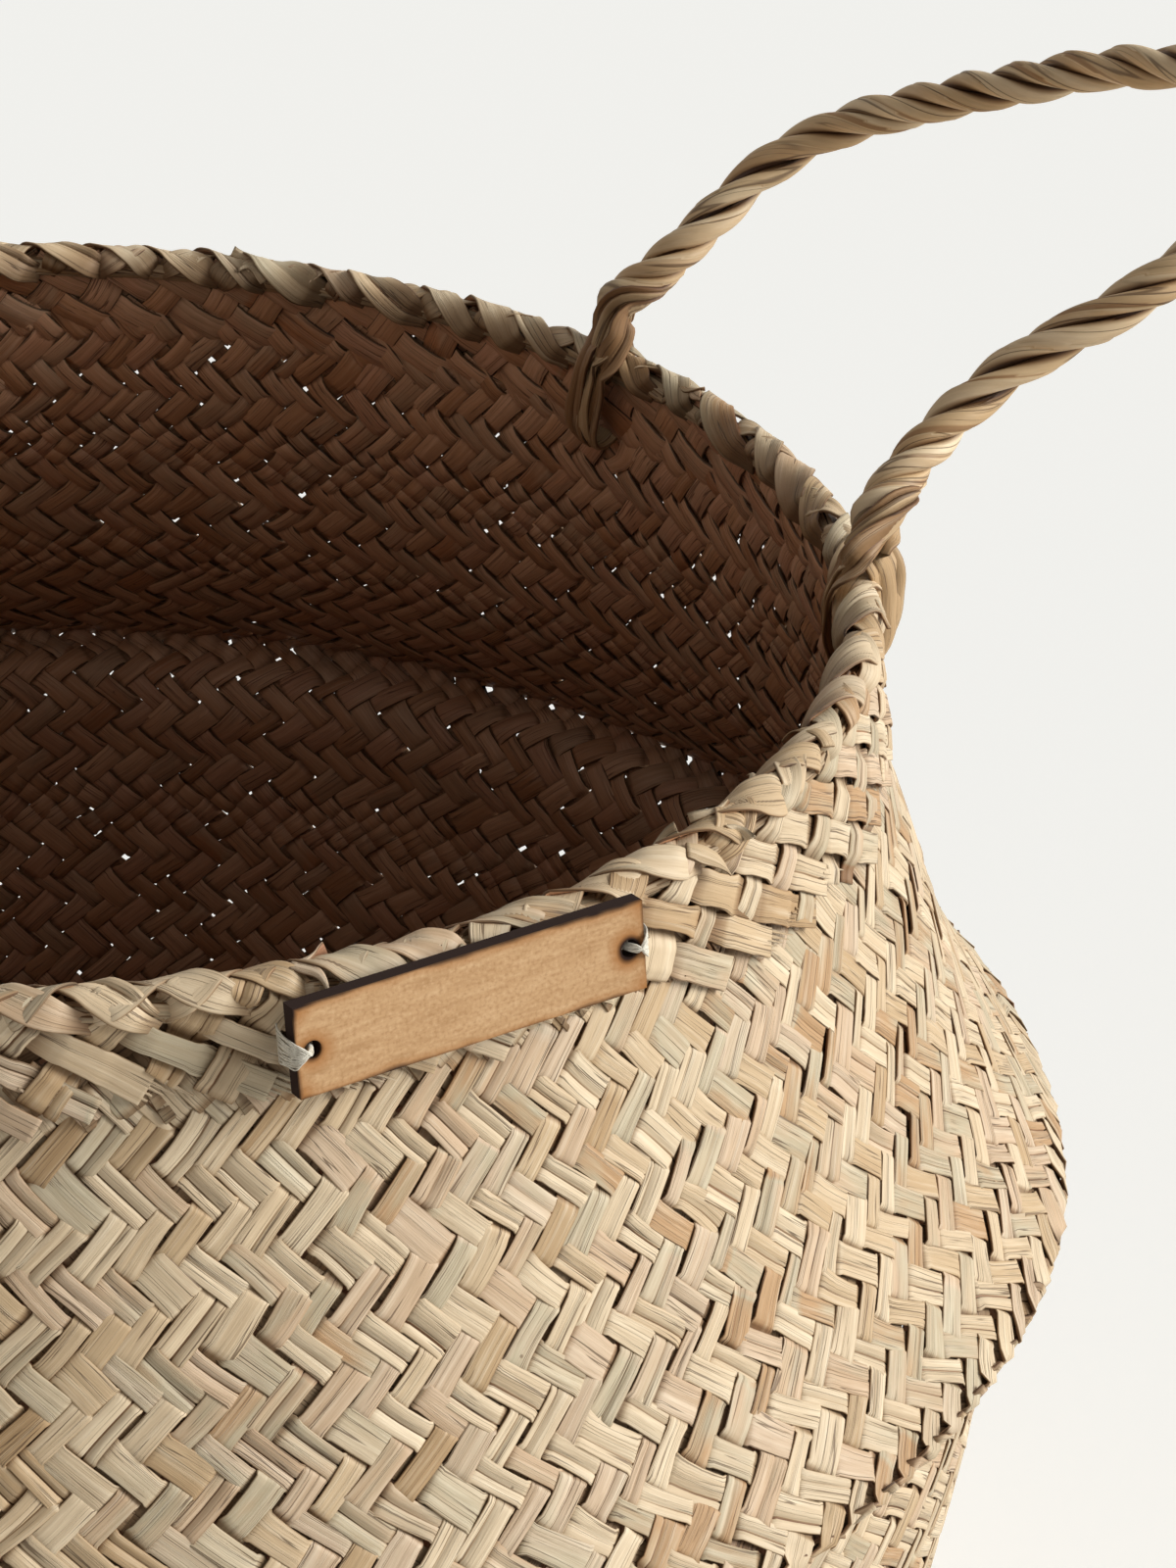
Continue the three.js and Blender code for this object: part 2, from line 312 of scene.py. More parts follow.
def new_piece(name, verts, quads, look, caps=()):
    """A mesh object from arrays. look is its material, the body that it rides on, and a slot name that is not
    used.
    """
    material, body, slot_name = look
    mesh = bpy.data.meshes.new(name)
    mesh.vertices.add(len(verts))
    mesh.vertices.foreach_set("co", np.asarray(verts, np.float32).ravel())
    corners = [np.asarray(quads, np.int32).ravel()]
    sizes = [np.full(len(quads), 4, np.int32)]
    for cap in caps:
        corners.append(np.asarray(cap, np.int32).ravel())
        sizes.append(np.full(len(cap), np.asarray(cap).shape[1], np.int32))
    corners, sizes = np.concatenate(corners), np.concatenate(sizes)
    mesh.loops.add(len(corners))
    mesh.loops.foreach_set("vertex_index", corners)
    mesh.polygons.add(len(sizes))
    mesh.polygons.foreach_set("loop_start", summed(sizes)[:-1].astype(np.int32))
    mesh.polygons.foreach_set("use_smooth", np.arange(len(sizes)) < len(quads))
    mesh.update(calc_edges=True)
    mesh.materials.append(material)
    piece = put_in_scene(name, mesh)
    if body:
        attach(piece, body)
    return piece


def set_attribute(piece, name, values):
    attribute = piece.data.attributes.new(name, "FLOAT_VECTOR", "POINT")
    attribute.data.foreach_set("vector", np.asarray(values, np.float32).ravel())


def tube_faces(*shape):
    """Quads along tubes, counted as (tubes, rows, points), and the caps at their ends."""
    index = np.arange(np.prod(shape)).reshape(shape)
    following = np.roll(index, -1, axis=2)
    quads = np.stack([index[:, :-1], following[:, :-1], following[:, 1:], index[:, 1:]], -1).reshape(-1, 4)
    return quads, [index[:, 0, ::-1], index[:, -1, :]]


def leaf_marks(shape, tone, shift, level):
    """What a leaf tells its material: two random numbers, and how high it lies, which the material turns into
    painted shade where it is low.
    """
    marks = np.zeros((*shape, 3))
    for k, values in enumerate((tone, shift, level)):
        marks[..., k] = values
    return np.clip(marks, -1, 1)


def ribbons(name, centre, normal, half_width, thickness, section, marks, along_start, look, tilt=0.0,
            arch=0.0, split=None):
    """Many leaves at once. centre and normal are (strands, samples, 3), half_width (strands, samples).
    marks are (strands, samples, 3): two random numbers of the leaf, and how high it lies in the plait, which
    sets its painted shade.
    tilt raises one edge, and arch is how strongly a leaf curves across. split holds how deep a split
    each leaf has, and where it lies."""
    shape = np.array(LEAF_SECTION_SHARES[section])
    strands, samples = centre.shape[:2]
    points = len(shape)
    across = np.tile(shape[:, 0], (strands, samples, 1))
    raised = np.tile(shape[:, 1], (strands, samples, 1))
    grooved = SPLIT_POINTS[section]
    if split is not None and grooved:
        for point in grooved:
            across[..., point] += split[1]
        raised[..., grooved[1]] -= split[0]
    along = unit(np.gradient(centre, axis=1))
    side = unit(np.cross(normal, along))
    up = unit(np.cross(along, side))
    x = across[..., None] * half_width[..., None, None]
    tilt = np.broadcast_to(tilt, (strands, samples))
    height = raised[..., None] * thickness - arch * x * x / 2 + across[..., None] * tilt[..., None, None]
    verts = centre[:, :, None, :] + side[:, :, None, :] * x + up[:, :, None, :] * height
    quads, caps = tube_faces(strands, samples, points)
    piece = new_piece(name, verts.reshape(-1, 3), quads[:, ::-1], look, [cap[:, ::-1] for cap in caps])
    steps = np.linalg.norm(np.diff(centre, axis=1), axis=2)
    length = np.concatenate([np.zeros((strands, 1)), np.cumsum(steps, axis=1)], axis=1) + along_start
    leaf = np.stack([np.broadcast_to(length[..., None], across.shape), across, raised], -1)
    set_attribute(piece, "leaf", leaf.reshape(-1, 3))
    set_attribute(piece, "mark", np.repeat(marks[:, :, None, :], points, axis=2).reshape(-1, 3))
    return piece


def noise_wave(rng, strands, x, periods, sizes):
    """A smooth random wave per strand, as a sum of sines of x."""
    total = np.zeros_like(x)
    for period, size in zip(periods, sizes):
        stretch = rng.uniform(0.7, 1.4, (strands, 1))
        phase = rng.uniform(0, 2 * np.pi, (strands, 1))
        total += size * np.sin(2 * np.pi * x / (period * stretch) + phase)
    return total


# Materials

class Nodes:
    """A short way to write a node tree."""

    def __init__(self, material):
        material.use_nodes = True
        self.tree = material.node_tree
        self.tree.nodes.clear()

    def add(self, kind, **settings):
        node = self.tree.nodes.new(kind)
        for key, value in settings.items():
            setattr(node, key, value)
        return node

    def put(self, socket, value):
        if isinstance(value, bpy.types.NodeSocket):
            self.tree.links.new(value, socket)
        else:
            socket.default_value = value

    def math(self, operation, a, b=0.0, clamp=False):
        node = self.add("ShaderNodeMath", operation=operation, use_clamp=clamp)
        self.put(node.inputs[0], a)
        self.put(node.inputs[1], b)
        return node.outputs[0]

    def times(self, a, b):
        return self.math("MULTIPLY", a, b)

    def plus(self, a, b, clamp=False):
        return self.math("ADD", a, b, clamp)

    def minus(self, a, b):
        return self.math("SUBTRACT", a, b)

    def most(self, a, b):
        return self.math("MAXIMUM", a, b)

    def mix(self, share, a, b, blend="MIX"):
        node = self.add("ShaderNodeMix", data_type="RGBA", blend_type=blend)
        self.put(node.inputs[0], share)
        self.put(node.inputs[6], a)
        self.put(node.inputs[7], b)
        return node.outputs[2]

    def ramp(self, value, stops):
        node = self.add("ShaderNodeValToRGB")
        elements = node.color_ramp.elements
        while len(elements) < len(stops):
            elements.new(0.5)
        for element, (at, colour) in zip(elements, stops):
            element.position = at
            element.color = (*colour, 1)
        self.put(node.inputs[0], value)
        return node.outputs[0]

    def vector(self, x, y, z):
        node = self.add("ShaderNodeCombineXYZ")
        for socket, value in zip(node.inputs, (x, y, z)):
            self.put(socket, value)
        return node.outputs[0]

    def noise(self, vector, scale, detail=2.0, roughness=0.5):
        node = self.add("ShaderNodeTexNoise")
        self.put(node.inputs["Vector"], vector)
        node.inputs["Scale"].default_value = scale
        node.inputs["Detail"].default_value = detail
        node.inputs["Roughness"].default_value = roughness
        return node.outputs[0]

    def range(self, value, low, high, to_low=0.0, to_high=1.0):
        node = self.add("ShaderNodeMapRange")
        self.put(node.inputs[0], value)
        for socket, number in zip(node.inputs[1:5], (low, high, to_low, to_high)):
            socket.default_value = number
        return node.outputs[0]

    def attribute(self, name):
        node = self.add("ShaderNodeAttribute", attribute_name=name)
        split = self.add("ShaderNodeSeparateXYZ")
        self.tree.links.new(node.outputs["Vector"], split.inputs[0])
        return split.outputs

    def finish(self, colour, roughness, height, strength, distance, specular=0.35):
        """The surface itself, and a bump for what is finer than the mesh."""
        shader = self.add("ShaderNodeBsdfPrincipled")
        self.put(shader.inputs["Base Color"], colour)
        self.put(shader.inputs["Roughness"], roughness)
        shader.inputs["Specular IOR Level"].default_value = specular
        bump = self.add("ShaderNodeBump")
        bump.inputs["Strength"].default_value = strength
        bump.inputs["Distance"].default_value = distance
        self.put(bump.inputs["Height"], height)
        self.put(shader.inputs["Normal"], bump.outputs[0])
        output = self.add("ShaderNodeOutputMaterial")
        self.tree.links.new(shader.outputs[0], output.inputs[0])


STRAW = (
    (0.00, (0.500, 0.338, 0.182)), (0.10, (0.620, 0.460, 0.278)), (0.26, (0.720, 0.570, 0.380)),
    (0.42, (0.800, 0.668, 0.472)), (0.55, (0.700, 0.568, 0.390)), (0.66, (0.580, 0.520, 0.372)),
    (0.76, (0.690, 0.540, 0.390)), (0.86, (0.640, 0.465, 0.306)), (0.94, (0.545, 0.484, 0.342)),
    (1.00, (0.520, 0.322, 0.167)),
)
ROPE_LEAF = (
    (0.00, (0.330, 0.175, 0.078)), (0.22, (0.560, 0.370, 0.190)), (0.48, (0.720, 0.530, 0.310)),
    (0.70, (0.810, 0.630, 0.400)), (0.88, (0.600, 0.390, 0.205)), (1.00, (0.840, 0.680, 0.455)),
)
INSIDE_TINT = (0.78, 0.56, 0.50, 1)      # the leaves' inner side has browned
INSIDE_DEPTH_SHADES = (0.74, 1.3)              # painted shade that darkens the inner side from the mouth down to the ridge
ROPE_UNDER_TINT = (0.80, 0.76, 0.70, 1)
LEAF_SHIFT = 61.0                        # sets the patterns of two leaves apart
LEAF_BUMP = 0.28 * MM
FINE_BUMP = 0.1 * MM
BROWN_STREAK = (0.34, 0.215, 0.105, 1)
BROWN_FIBRE = (0.36, 0.245, 0.13, 1)
PALE_STREAK = (0.88, 0.78, 0.60, 1)
# painted shade in the dark lines of the leaves' splits and creases
SPLIT_SHADE = (0.10, 0.052, 0.024, 1)
DARK_SPECK = (0.10, 0.05, 0.02, 1)


def leaf_material(name, palette, cavity, dark_from=-0.9, dark_to=0.5, tint=INSIDE_TINT, depth_shades=INSIDE_DEPTH_SHADES):
    """Dried leaf: streaks along it, fine splits and specks, with painted shade: darker where it dives, at its
    edges, in its splits and on its inner side.
    """
    material = bpy.data.materials.new(name)
    n = Nodes(material)
    along, across, raised = n.attribute("leaf")
    first, second, lift = n.attribute("mark")
    shift = n.times(second, LEAF_SHIFT)

    def on_leaf(often_along, often_across, apart=0.0):
        """A place on the leaf for a pattern that repeats so often per metre and per half width."""
        return n.vector(n.times(along, often_along), n.times(across, often_across), n.plus(shift, apart))

    streaks = n.noise(on_leaf(45.0, 2.4), 1.0, 4.0, 0.6)
    fibres = n.noise(on_leaf(150.0, 11.0), 1.0, 3.0, 0.6)
    patches = n.noise(on_leaf(60.0, 0.5), 1.0, 2.0)
    splits = n.noise(on_leaf(16.0, 2.8, 9.0), 1.0, 1.0)
    ridges = n.noise(on_leaf(26.0, 5.0, 4.0), 1.0, 1.0)
    colour = n.ramp(n.plus(first, n.times(n.minus(patches, 0.5), 0.26), True), palette)
    colour = n.mix(n.range(streaks, 0.25, 0.7, 0.30, 0.0), colour, BROWN_STREAK)
    colour = n.mix(n.range(fibres, 0.34, 0.60, 0.24, 0.0), colour, BROWN_FIBRE)
    colour = n.mix(n.range(streaks, 0.5, 0.8, 0.0, 0.45), colour, PALE_STREAK)
    # Painted shade: near-black lines where a leaf is split or creased along; the bump sinks them too.
    line = n.range(n.math("ABSOLUTE", n.minus(splits, 0.44)), 0.005, 0.017, 0.72, 0.0)
    crease_shade = n.range(n.math("ABSOLUTE", n.minus(ridges, 0.5)), 0.003, 0.016, 1.0, 0.0)
    line = n.most(line, n.times(crease_shade, n.range(patches, 0.50, 0.62, 0.0, 0.50)))
    colour = n.mix(line, colour, SPLIT_SHADE)
    specks = n.add("ShaderNodeTexVoronoi")
    n.put(specks.inputs["Vector"], on_leaf(230.0, 0.55))
    specks.inputs["Scale"].default_value = 1.0
    dots = n.range(specks.outputs["Distance"], 0.05, 0.09, 0.6, 0.0)
    rare = n.range(specks.outputs["Color"], 0.10, 0.12, 1.0, 0.0)
    colour = n.mix(n.times(dots, rare), colour, DARK_SPECK)

    # Painted shade: the outer side darkens where the leaf lies low in the plait, at its edges and in its
    # splits; the inner side darkens where the leaf lies high outside. Darker shade turns browner.
    top = n.range(raised, -0.5, -0.2, 0.0, 1.0)
    hollow_shade = n.range(lift, dark_from, dark_to, cavity, 1.0)
    edge = n.range(n.math("ABSOLUTE", across), 0.92, 1.0, 1.0, 0.66)
    groove_shade = n.range(raised, 0.2, 0.8, 0.42, 1.0)
    outer = n.times(n.times(hollow_shade, edge), groove_shade)
    inner = n.range(lift, -0.2, 0.9, 1.0, 0.62)
    shade = n.plus(n.times(outer, top), n.times(inner, n.minus(1.0, top)))
    warm = n.vector(shade, n.math("POWER", shade, 1.25), n.math("POWER", shade, 1.5))
    colour = n.mix(1.0, colour, warm, "MULTIPLY")
    # The inner side takes its own browner tint, and painted shade that darkens it from the mouth down to the
    # ridge.
    place = n.add("ShaderNodeSeparateXYZ")
    n.put(place.inputs[0], n.add("ShaderNodeTexCoord").outputs["Object"])
    depth = n.range(place.outputs[2], RIDGE_Z, RIM_Z, *depth_shades)
    inside_tint_and_shade = n.mix(1.0, n.mix(1.0, colour, tint, "MULTIPLY"), n.vector(depth, depth, depth), "MULTIPLY")
    colour = n.mix(n.minus(1.0, top), colour, inside_tint_and_shade)

    height = n.plus(n.times(fibres, 0.5), n.times(streaks, 0.7))
    height = n.minus(height, n.times(line, 1.3))
    n.finish(colour, n.range(streaks, 0.2, 0.8, 0.64, 0.50), height, 0.6, LEAF_BUMP)
    return material


# Each material's painted shade: how dark it gets in hollows, and between which levels it darkens.
weave_leaf = leaf_material("seagrass_leaf", STRAW, 0.46, 0.0, 0.75)
band_leaf = leaf_material("seagrass_band_leaf", STRAW, 0.5, -0.9, 0.35)
border_leaf = leaf_material("seagrass_border_leaf", STRAW, 0.34, -0.7, 0.7)
rope_leaf = leaf_material("seagrass_rope_leaf", ROPE_LEAF, 0.11, tint=ROPE_UNDER_TINT, depth_shades=(1.0, 1.0))
WEAVE_LOOK = (weave_leaf, "basket", "seagrass_weave")
BAND_LOOK = (band_leaf, "basket", "seagrass_weave")
BORDER_LOOK = (border_leaf, "basket", "seagrass_border")
ROPE_LOOK = (rope_leaf, None, "seagrass_rope")      # a rope rides on no body


# Strands of the plait

LATE_DIVE = 0.45                        # a twilled strand stays high up to its neighbour's edge
TWILL_WAVE = 3.4
PLAIN_WAVE = 1.5
LEAF_TILT = 0.17 * MM
COVERED_DEPTH = 1.6                     # painted shadow: how much lower a covered strand counts, so that its material darkens it
DIVE = 1.5                              # a strand dives halfway between two crossings
DIVE_STEPS = {
    "fine": (-1.0, -0.45, -0.16, -0.07, 0.07, 0.16, 0.45),
    "plain": (-1.0, -0.40, -0.10, 0.10, 0.40),
}
FLOATS = 64                             # the most stretches that one strand has on top


def weave_height(kind, family, q):
    """How high a strand lies at q: 1 over, -1 under, and between them where it dives."""
    if kind == "twill":
        return np.clip(family * TWILL_WAVE * np.cos(QUARTER * (q - 0.5)) + LATE_DIVE, -1, 1)
    return family * np.clip(PLAIN_WAVE * np.cos(np.pi * q), -1, 1)


def dive_samples(low, high, steps):
    """Rows to sample a twilled strand at: close together where it dives."""
    first = math.floor((low - DIVE) / 2) - 1
    last = math.ceil((high - DIVE) / 2) + 1
    rows = np.array([DIVE + 2 * k + step for k in range(first, last + 1) for step in steps])
    rows = rows[(rows > low + 0.05) & (rows < high - 0.05)]
    return np.concatenate([[low], rows, [high]])


def plait(name, lattice, family, q_from, q_to, kind, lift, rise, thickness, width_share, section,
          per_crossing, look, number, floor=False, shift=0.0, taper=0.0, phase=0.0, end_on_top=0.0,
          over_share=0.0, covered=None):
    """All strands of one family between two rows of crossings. number sets a piece's pattern apart, and shift
    moves each strand sideways in its own width. end_on_top lifts the last stretch over the others, over_share
    keeps a strand over for longer, and covered tells where another layer casts painted shadow on it."""
    strands = lattice.strands
    index = np.arange(strands)[:, None] + 0.5
    base = lattice.spread_out(family, index)
    widths = lattice.widths[family][:, None]
    tones = np.random.default_rng(SEED + 7 + family).uniform(0, 1, (strands, 2))
    if floor:
        ends = lattice.floor_reach(family, base)
        samples = int((lattice.floor_half * 2 / lattice.side) * per_crossing) + 2
    else:
        ends = np.ones((strands, 1)) * q_to
        samples = int(round(float(np.max(ends - q_from)) * per_crossing)) + 1
    q = q_from + (ends - q_from) * np.linspace(0, 1, samples)[None, :]
    if kind == "twill" and not floor:
        rows = dive_samples(q_from, q_to, DIVE_STEPS[section])
        q = family * (lattice.spread_out(-family, family * (rows - phase) + index) - base)
        if q_to == lattice.q_end:
            q = np.minimum(q, q_to - 0.02 * np.arange(len(rows))[::-1])
            q[:, -1] = q_to
        ends = q[:, -1:]
    fixed = np.random.default_rng(SEED + 31 + family)
    drift = noise_wave(fixed, strands, q, (9.0, 23.0, 4.6), (0.06, 0.07, 0.035))
    other = lattice.counted(-family, base + family * q)
    level = weave_height(kind, family, family * (other - index) + phase)
    level = np.clip(level + over_share, -1, 1)
    level = level + end_on_top * (1 - level) * smooth_step(q, ends - 1.1, ends - 0.4)
    place = lattice.floor_place if floor else lattice.place
    m, phi, turn = place(family, base + (0 if floor else 1) * drift + shift * widths, q)
    jitter = noise_wave(fixed, strands, q, (5.0, 13.0), (0.06, 0.06))
    rows = np.floor((q + (0.5 if family > 0 else 2.5)) / 4).astype(int)
    floats = np.random.default_rng(SEED + 53 + family).normal(0, 1, (strands, FLOATS, 3))
    pick = floats[np.arange(strands)[:, None], np.clip(rows, 0, FLOATS - 1)]
    outside = lift(m, q, ends) if callable(lift) else lift
    centre, normal = surface(m, phi, outside + rise * (level + jitter))
    along = unit(np.gradient(centre, axis=1))
    flat = round_axis(1, phi + QUARTER, np.zeros_like(phi))
    sine = np.sqrt(np.maximum(1 - np.sum(along * flat, -1) ** 2, 0.05))
    spacing = on_meridian(m)[0] * turn * sine * widths
    share_here = width_share(phi) if callable(width_share) else width_share
    width = share_here * spacing * (1 + noise_wave(fixed, strands, q, (6.0, 31.0), (0.045, 0.05)))
    width = width * (1 + 0.03 * pick[..., 0].clip(-2, 1))
    width = width * (1 - taper * smooth_step(q, ends - 0.5, ends))
    # Painted shadow: a strand counts lower where another layer covers it, and its material darkens it.
    band_shadow = COVERED_DEPTH * covered(m, phi) if covered else 0
    marks = leaf_marks(q.shape, tones[:, :1] + 0.05 * pick[..., 1], tones[:, 1:] + shift, level - band_shadow)
    tilt = LEAF_TILT * pick[..., 2] * np.clip(level, 0, 1)
    depth = fixed.uniform(0, 1, (strands, 1))
    depth = np.where(depth > 0.55, 2.6 * depth - 0.7, 0.1) * (0.8 + 0.4 * np.sin(q / 2.3 + 7 * depth))
    split = depth, fixed.uniform(-0.5, 0.5, (strands, 1)) + 0 * q
    return ribbons(name, centre, normal, width / 2, thickness, section, marks, number * BASE_RADIUS, look,
                   tilt, split=split)


WIDTH_SPREAD_SHARE = 0.175
TURNED_SPREAD_SHARE = 0.08
TURNED_ARC = 60 * MM                    # how far down the rows of the turned-down leaves are counted
TURNED_SKEW = 0.5
ALMOST = 0.9999
FLOOR_ARC = float(np.interp(-FLOOR_RADIUS, -MIDDLE[BELOW_RIDGE, 0], ARC[BELOW_RIDGE]))
RIDGE_ARC = float(np.interp(RIDGE_RADIUS * ALMOST, MIDDLE[ABOVE_RIDGE, 0], ARC[ABOVE_RIDGE]))

body_lattice = Lattice(STRANDS, CROSSING, FLOOR_ARC, WIDTH_SPREAD_SHARE, 1)
band_lattice = Lattice(BAND_STRANDS, BAND_CROSSING, TURNED_ARC, TURNED_SPREAD_SHARE, 2, TURNED_SKEW)
mouth_lattice = Lattice(BAND_STRANDS, BAND_CROSSING, TURNED_ARC, TURNED_SPREAD_SHARE, 3, -TURNED_SKEW)

WEAVE_START = 15 * MM
WEAVE_RISE = 0.52 * MM
LEAF_THICKNESS = 0.40 * MM
WEAVE_WIDTH_SHARES = {1: 1.0, -1: 0.92}
FLOOR_LIFT = -0.6 * MM
FLOOR_LIFT_REACH = 40 * MM
MOUTH_START = 2.6 * MM
MOUTH_END = 19.5 * MM
MOUTH_RISE = 0.6 * MM
MOUTH_LEAF_SHARES = {1: 0.62, -1: 0.90}
MOUTH_OVER_SHARES = {1: 0.3, -1: -0.3}
TURNED_LEAF_THICKNESS = 0.45 * MM
TUCK_LIFT = 0.8 * MM
TUCK_REACH = 3.5 * MM
FAMILIES = ((1, "falling"), (-1, "rising"))

start_q = math.floor(body_lattice.q_at(WEAVE_START))
ridge_q = math.ceil(body_lattice.q_at(RIDGE_ARC))


def wall_lift(m, q, ends):
    """The plait starts a little outside the mouth's leaves, and draws in where the wall turns under."""
    start = TUCK_LIFT * (1 - smooth_step(m, WEAVE_START, WEAVE_START + TUCK_REACH))
    return start + FLOOR_LIFT * smooth_step(m, FLOOR_ARC - FLOOR_LIFT_REACH, FLOOR_ARC)


def mouth_lift(m, q, ends):
    """The mouth's leaves end a little outside the plait."""
    return TUCK_LIFT * smooth_step(m, MOUTH_END - TUCK_REACH, MOUTH_END)


def weave_pieces():
    made = []
    for family, leaning in FAMILIES:

        def under(row):
            """The row of crossings next to this one where the family lies under the other."""
            wanted = 2.5 if family > 0 else 4.5
            return wanted + 4 * round((row - wanted) / 4)

        first = under(start_q + (ridge_q - start_q) / 2)
        turn = under(ridge_q + 4)
        lower = under(ridge_q + (body_lattice.q_end - ridge_q) / 2)
        rows = (start_q, under((start_q + first) / 2), first, under((first + turn) / 2), turn, lower,
                body_lattice.q_end, 0)
        parts = ("upper_neck", "lower_neck", "upper_shoulder", "lower_shoulder",
                 "belly", "lower_wall", "floor")
        for part, low, high in zip(parts, rows, rows[1:]):
            floor = part == "floor"
            near = low < turn
            made.append(plait(
                f"woven_{part}_{leaning}", body_lattice, family, low, high, "twill",
                FLOOR_LIFT if floor else wall_lift, WEAVE_RISE, LEAF_THICKNESS, WEAVE_WIDTH_SHARES[family],
                "fine" if near else "plain", 3 if near else 2, WEAVE_LOOK, len(made), floor,
                covered=under_band if part == "upper_neck" else None,
            ))
        made.append(plait(
            f"woven_mouth_{leaning}", mouth_lattice, family, mouth_lattice.q_at(MOUTH_START),
            mouth_lattice.q_at(MOUTH_END), "plain", mouth_lift, MOUTH_RISE, TURNED_LEAF_THICKNESS,
            MOUTH_LEAF_SHARES[family], "fine", 6, WEAVE_LOOK, len(made), phase=1.0,
            over_share=MOUTH_OVER_SHARES[family], covered=under_band,
        ))
    return made


# Turned-down band: the leaves come over the mouth in pairs and end outside the neck at uneven depths

BAND_TOP_DEPTH = 2.4 * MM
BAND_TOP_LIFT = 0.7 * MM
BAND_FULL_DEPTH = 4.5 * MM
BAND_LIFT = 2.6 * MM
BAND_END_LIFT = 1.5 * MM
BAND_RISE = 0.7 * MM
BAND_LEAF_SHARES = {1: 0.70, -1: 0.58}
BAND_OVER_SHARES = {1: 0.1, -1: -0.1}
BAND_SPREAD_SHARE = 0.20                # the falling leaves are spread wider right of the tag
BAND_HIDDEN_ROWS = 0.5                  # the rising leaves end under the falling ones
BAND_SHORT = 18.5 * MM
BAND_LONG = 31 * MM
BAND_MIDDLE = 22 * MM
BAND_RAGGED = 3.5 * MM
BAND_SHADE_FROM = 5 * MM                # painted shadow: the plait is darkened under the band, fading out just above its ends
BAND_SHADE_TO = 2 * MM
BAND_SHORT_ANGLE = math.radians(-84)
BAND_LONG_ANGLE = math.radians(-48)
STRIPS = 6
STRIP_THICKNESS = 0.3 * MM
FRAY_CROSSINGS = 0.8
SQUARE_CUT = FRAY_CROSSINGS / 2         # a frayed leaf's whole part ends so much sooner


def band_share(angle):
    """How far down the band comes, between its shortest and its longest."""
    swing = 0.5 + 0.5 * np.sin(2 * angle + 1.1) * np.sin(3 * angle + 0.4)
    seen = smooth_step(angle, BAND_SHORT_ANGLE, BAND_LONG_ANGLE)
    near = smooth_step(np.abs(angle + math.radians(66)), math.radians(60), math.radians(80))
    return seen * (1 - near) + swing * near


def band_depth(angle):
    """How far below the rim the band ends."""
    return BAND_SHORT + (BAND_LONG - BAND_SHORT) * band_share(angle)


def under_band(m, phi):
    """1 where the band hides the plait, and 0 below its ends: where the plait takes painted shadow."""
    end = band_depth(from_back(phi))
    return 1 - smooth_step(m, end - BAND_SHADE_FROM, end - BAND_SHADE_TO)


def band_ends(family):
    """How far down each leaf of the band comes."""
    rng = np.random.default_rng(SEED + 300 + family)
    index = np.arange(BAND_STRANDS) + 0.5
    angle = 2 * np.pi / BAND_STRANDS * (index + family * band_lattice.q_at(BAND_MIDDLE) / 2)
    depth = band_depth(from_back(angle)) + rng.uniform(-BAND_RAGGED, BAND_RAGGED, BAND_STRANDS)
    return band_lattice.q_at(depth)[:, None]


def band_lift(m, q, ends):
    """The band lies outside the plait, and comes closer to it at its ends."""
    full = BAND_LIFT + (BAND_END_LIFT - BAND_LIFT) * smooth_step(q, ends - 3, ends)
    return BAND_TOP_LIFT + (full - BAND_TOP_LIFT) * smooth_step(m, BAND_TOP_DEPTH, BAND_FULL_DEPTH)


def falling_share(phi):
    """How wide the band's falling leaves are, as a share of the room that they have."""
    wider = smooth_step(from_back(phi), BAND_SHORT_ANGLE, BAND_LONG_ANGLE)
    return BAND_LEAF_SHARES[1] + BAND_SPREAD_SHARE * wider


def band_pieces():
    made = []
    q_top = band_lattice.q_at(BAND_TOP_DEPTH)

    def add(name, family, q_from, q_to, thickness, share, section, **more):
        made.append(plait(
            name, band_lattice, family, q_from, q_to, "plain", band_lift, BAND_RISE, thickness, share,
            section, 8, BAND_LOOK, 20 + len(made), over_share=BAND_OVER_SHARES[family], **more,
        ))

    ends = band_ends(1)
    rng = np.random.default_rng(SEED + 321)
    frayed = rng.uniform(0, 1, (BAND_STRANDS, 1)) < 0.4
    add("band_falling", 1, q_top, ends - SQUARE_CUT * frayed, TURNED_LEAF_THICKNESS, falling_share, "fine",
        end_on_top=0.9)
    for strip in range(STRIPS):
        side = (strip + 0.5) / STRIPS - 0.5
        length = 0.55 + 0.45 * rng.uniform(0, 1, (BAND_STRANDS, 1))
        add(f"band_falling_fray_{strip + 1}", 1, ends - FRAY_CROSSINGS,
            ends - (SQUARE_CUT + 0.1) * (1 - frayed * length), STRIP_THICKNESS,
            BAND_LEAF_SHARES[1] / STRIPS * 0.92, "plain",
            shift=side * BAND_LEAF_SHARES[1] * (1 + 0.1 * (strip % 2)), taper=0.6, end_on_top=0.95)
    add("band_rising", -1, q_top, band_ends(-1) - BAND_HIDDEN_ROWS, TURNED_LEAF_THICKNESS,
        BAND_LEAF_SHARES[-1], "fine")
    return made


# Rim border: flat leaves wound over the edge, each with its tip tucked under the next

WRAPS = BAND_STRANDS
WRAP_SAMPLES = 30
WRAP_HALF_WIDTH = 3.25 * MM
WRAP_TUCK = 2.4 * MM
WRAP_THICKNESS = 0.45 * MM
WRAP_BULGE = 0.22 * MM
WRAP_LEAN_SPREAD = 0.2 * MM
LEAF_ARCH = 70.0
INSIDE_SHADE = 1.35                     # painted shade: the border's leaves are darker and browner on their inner part
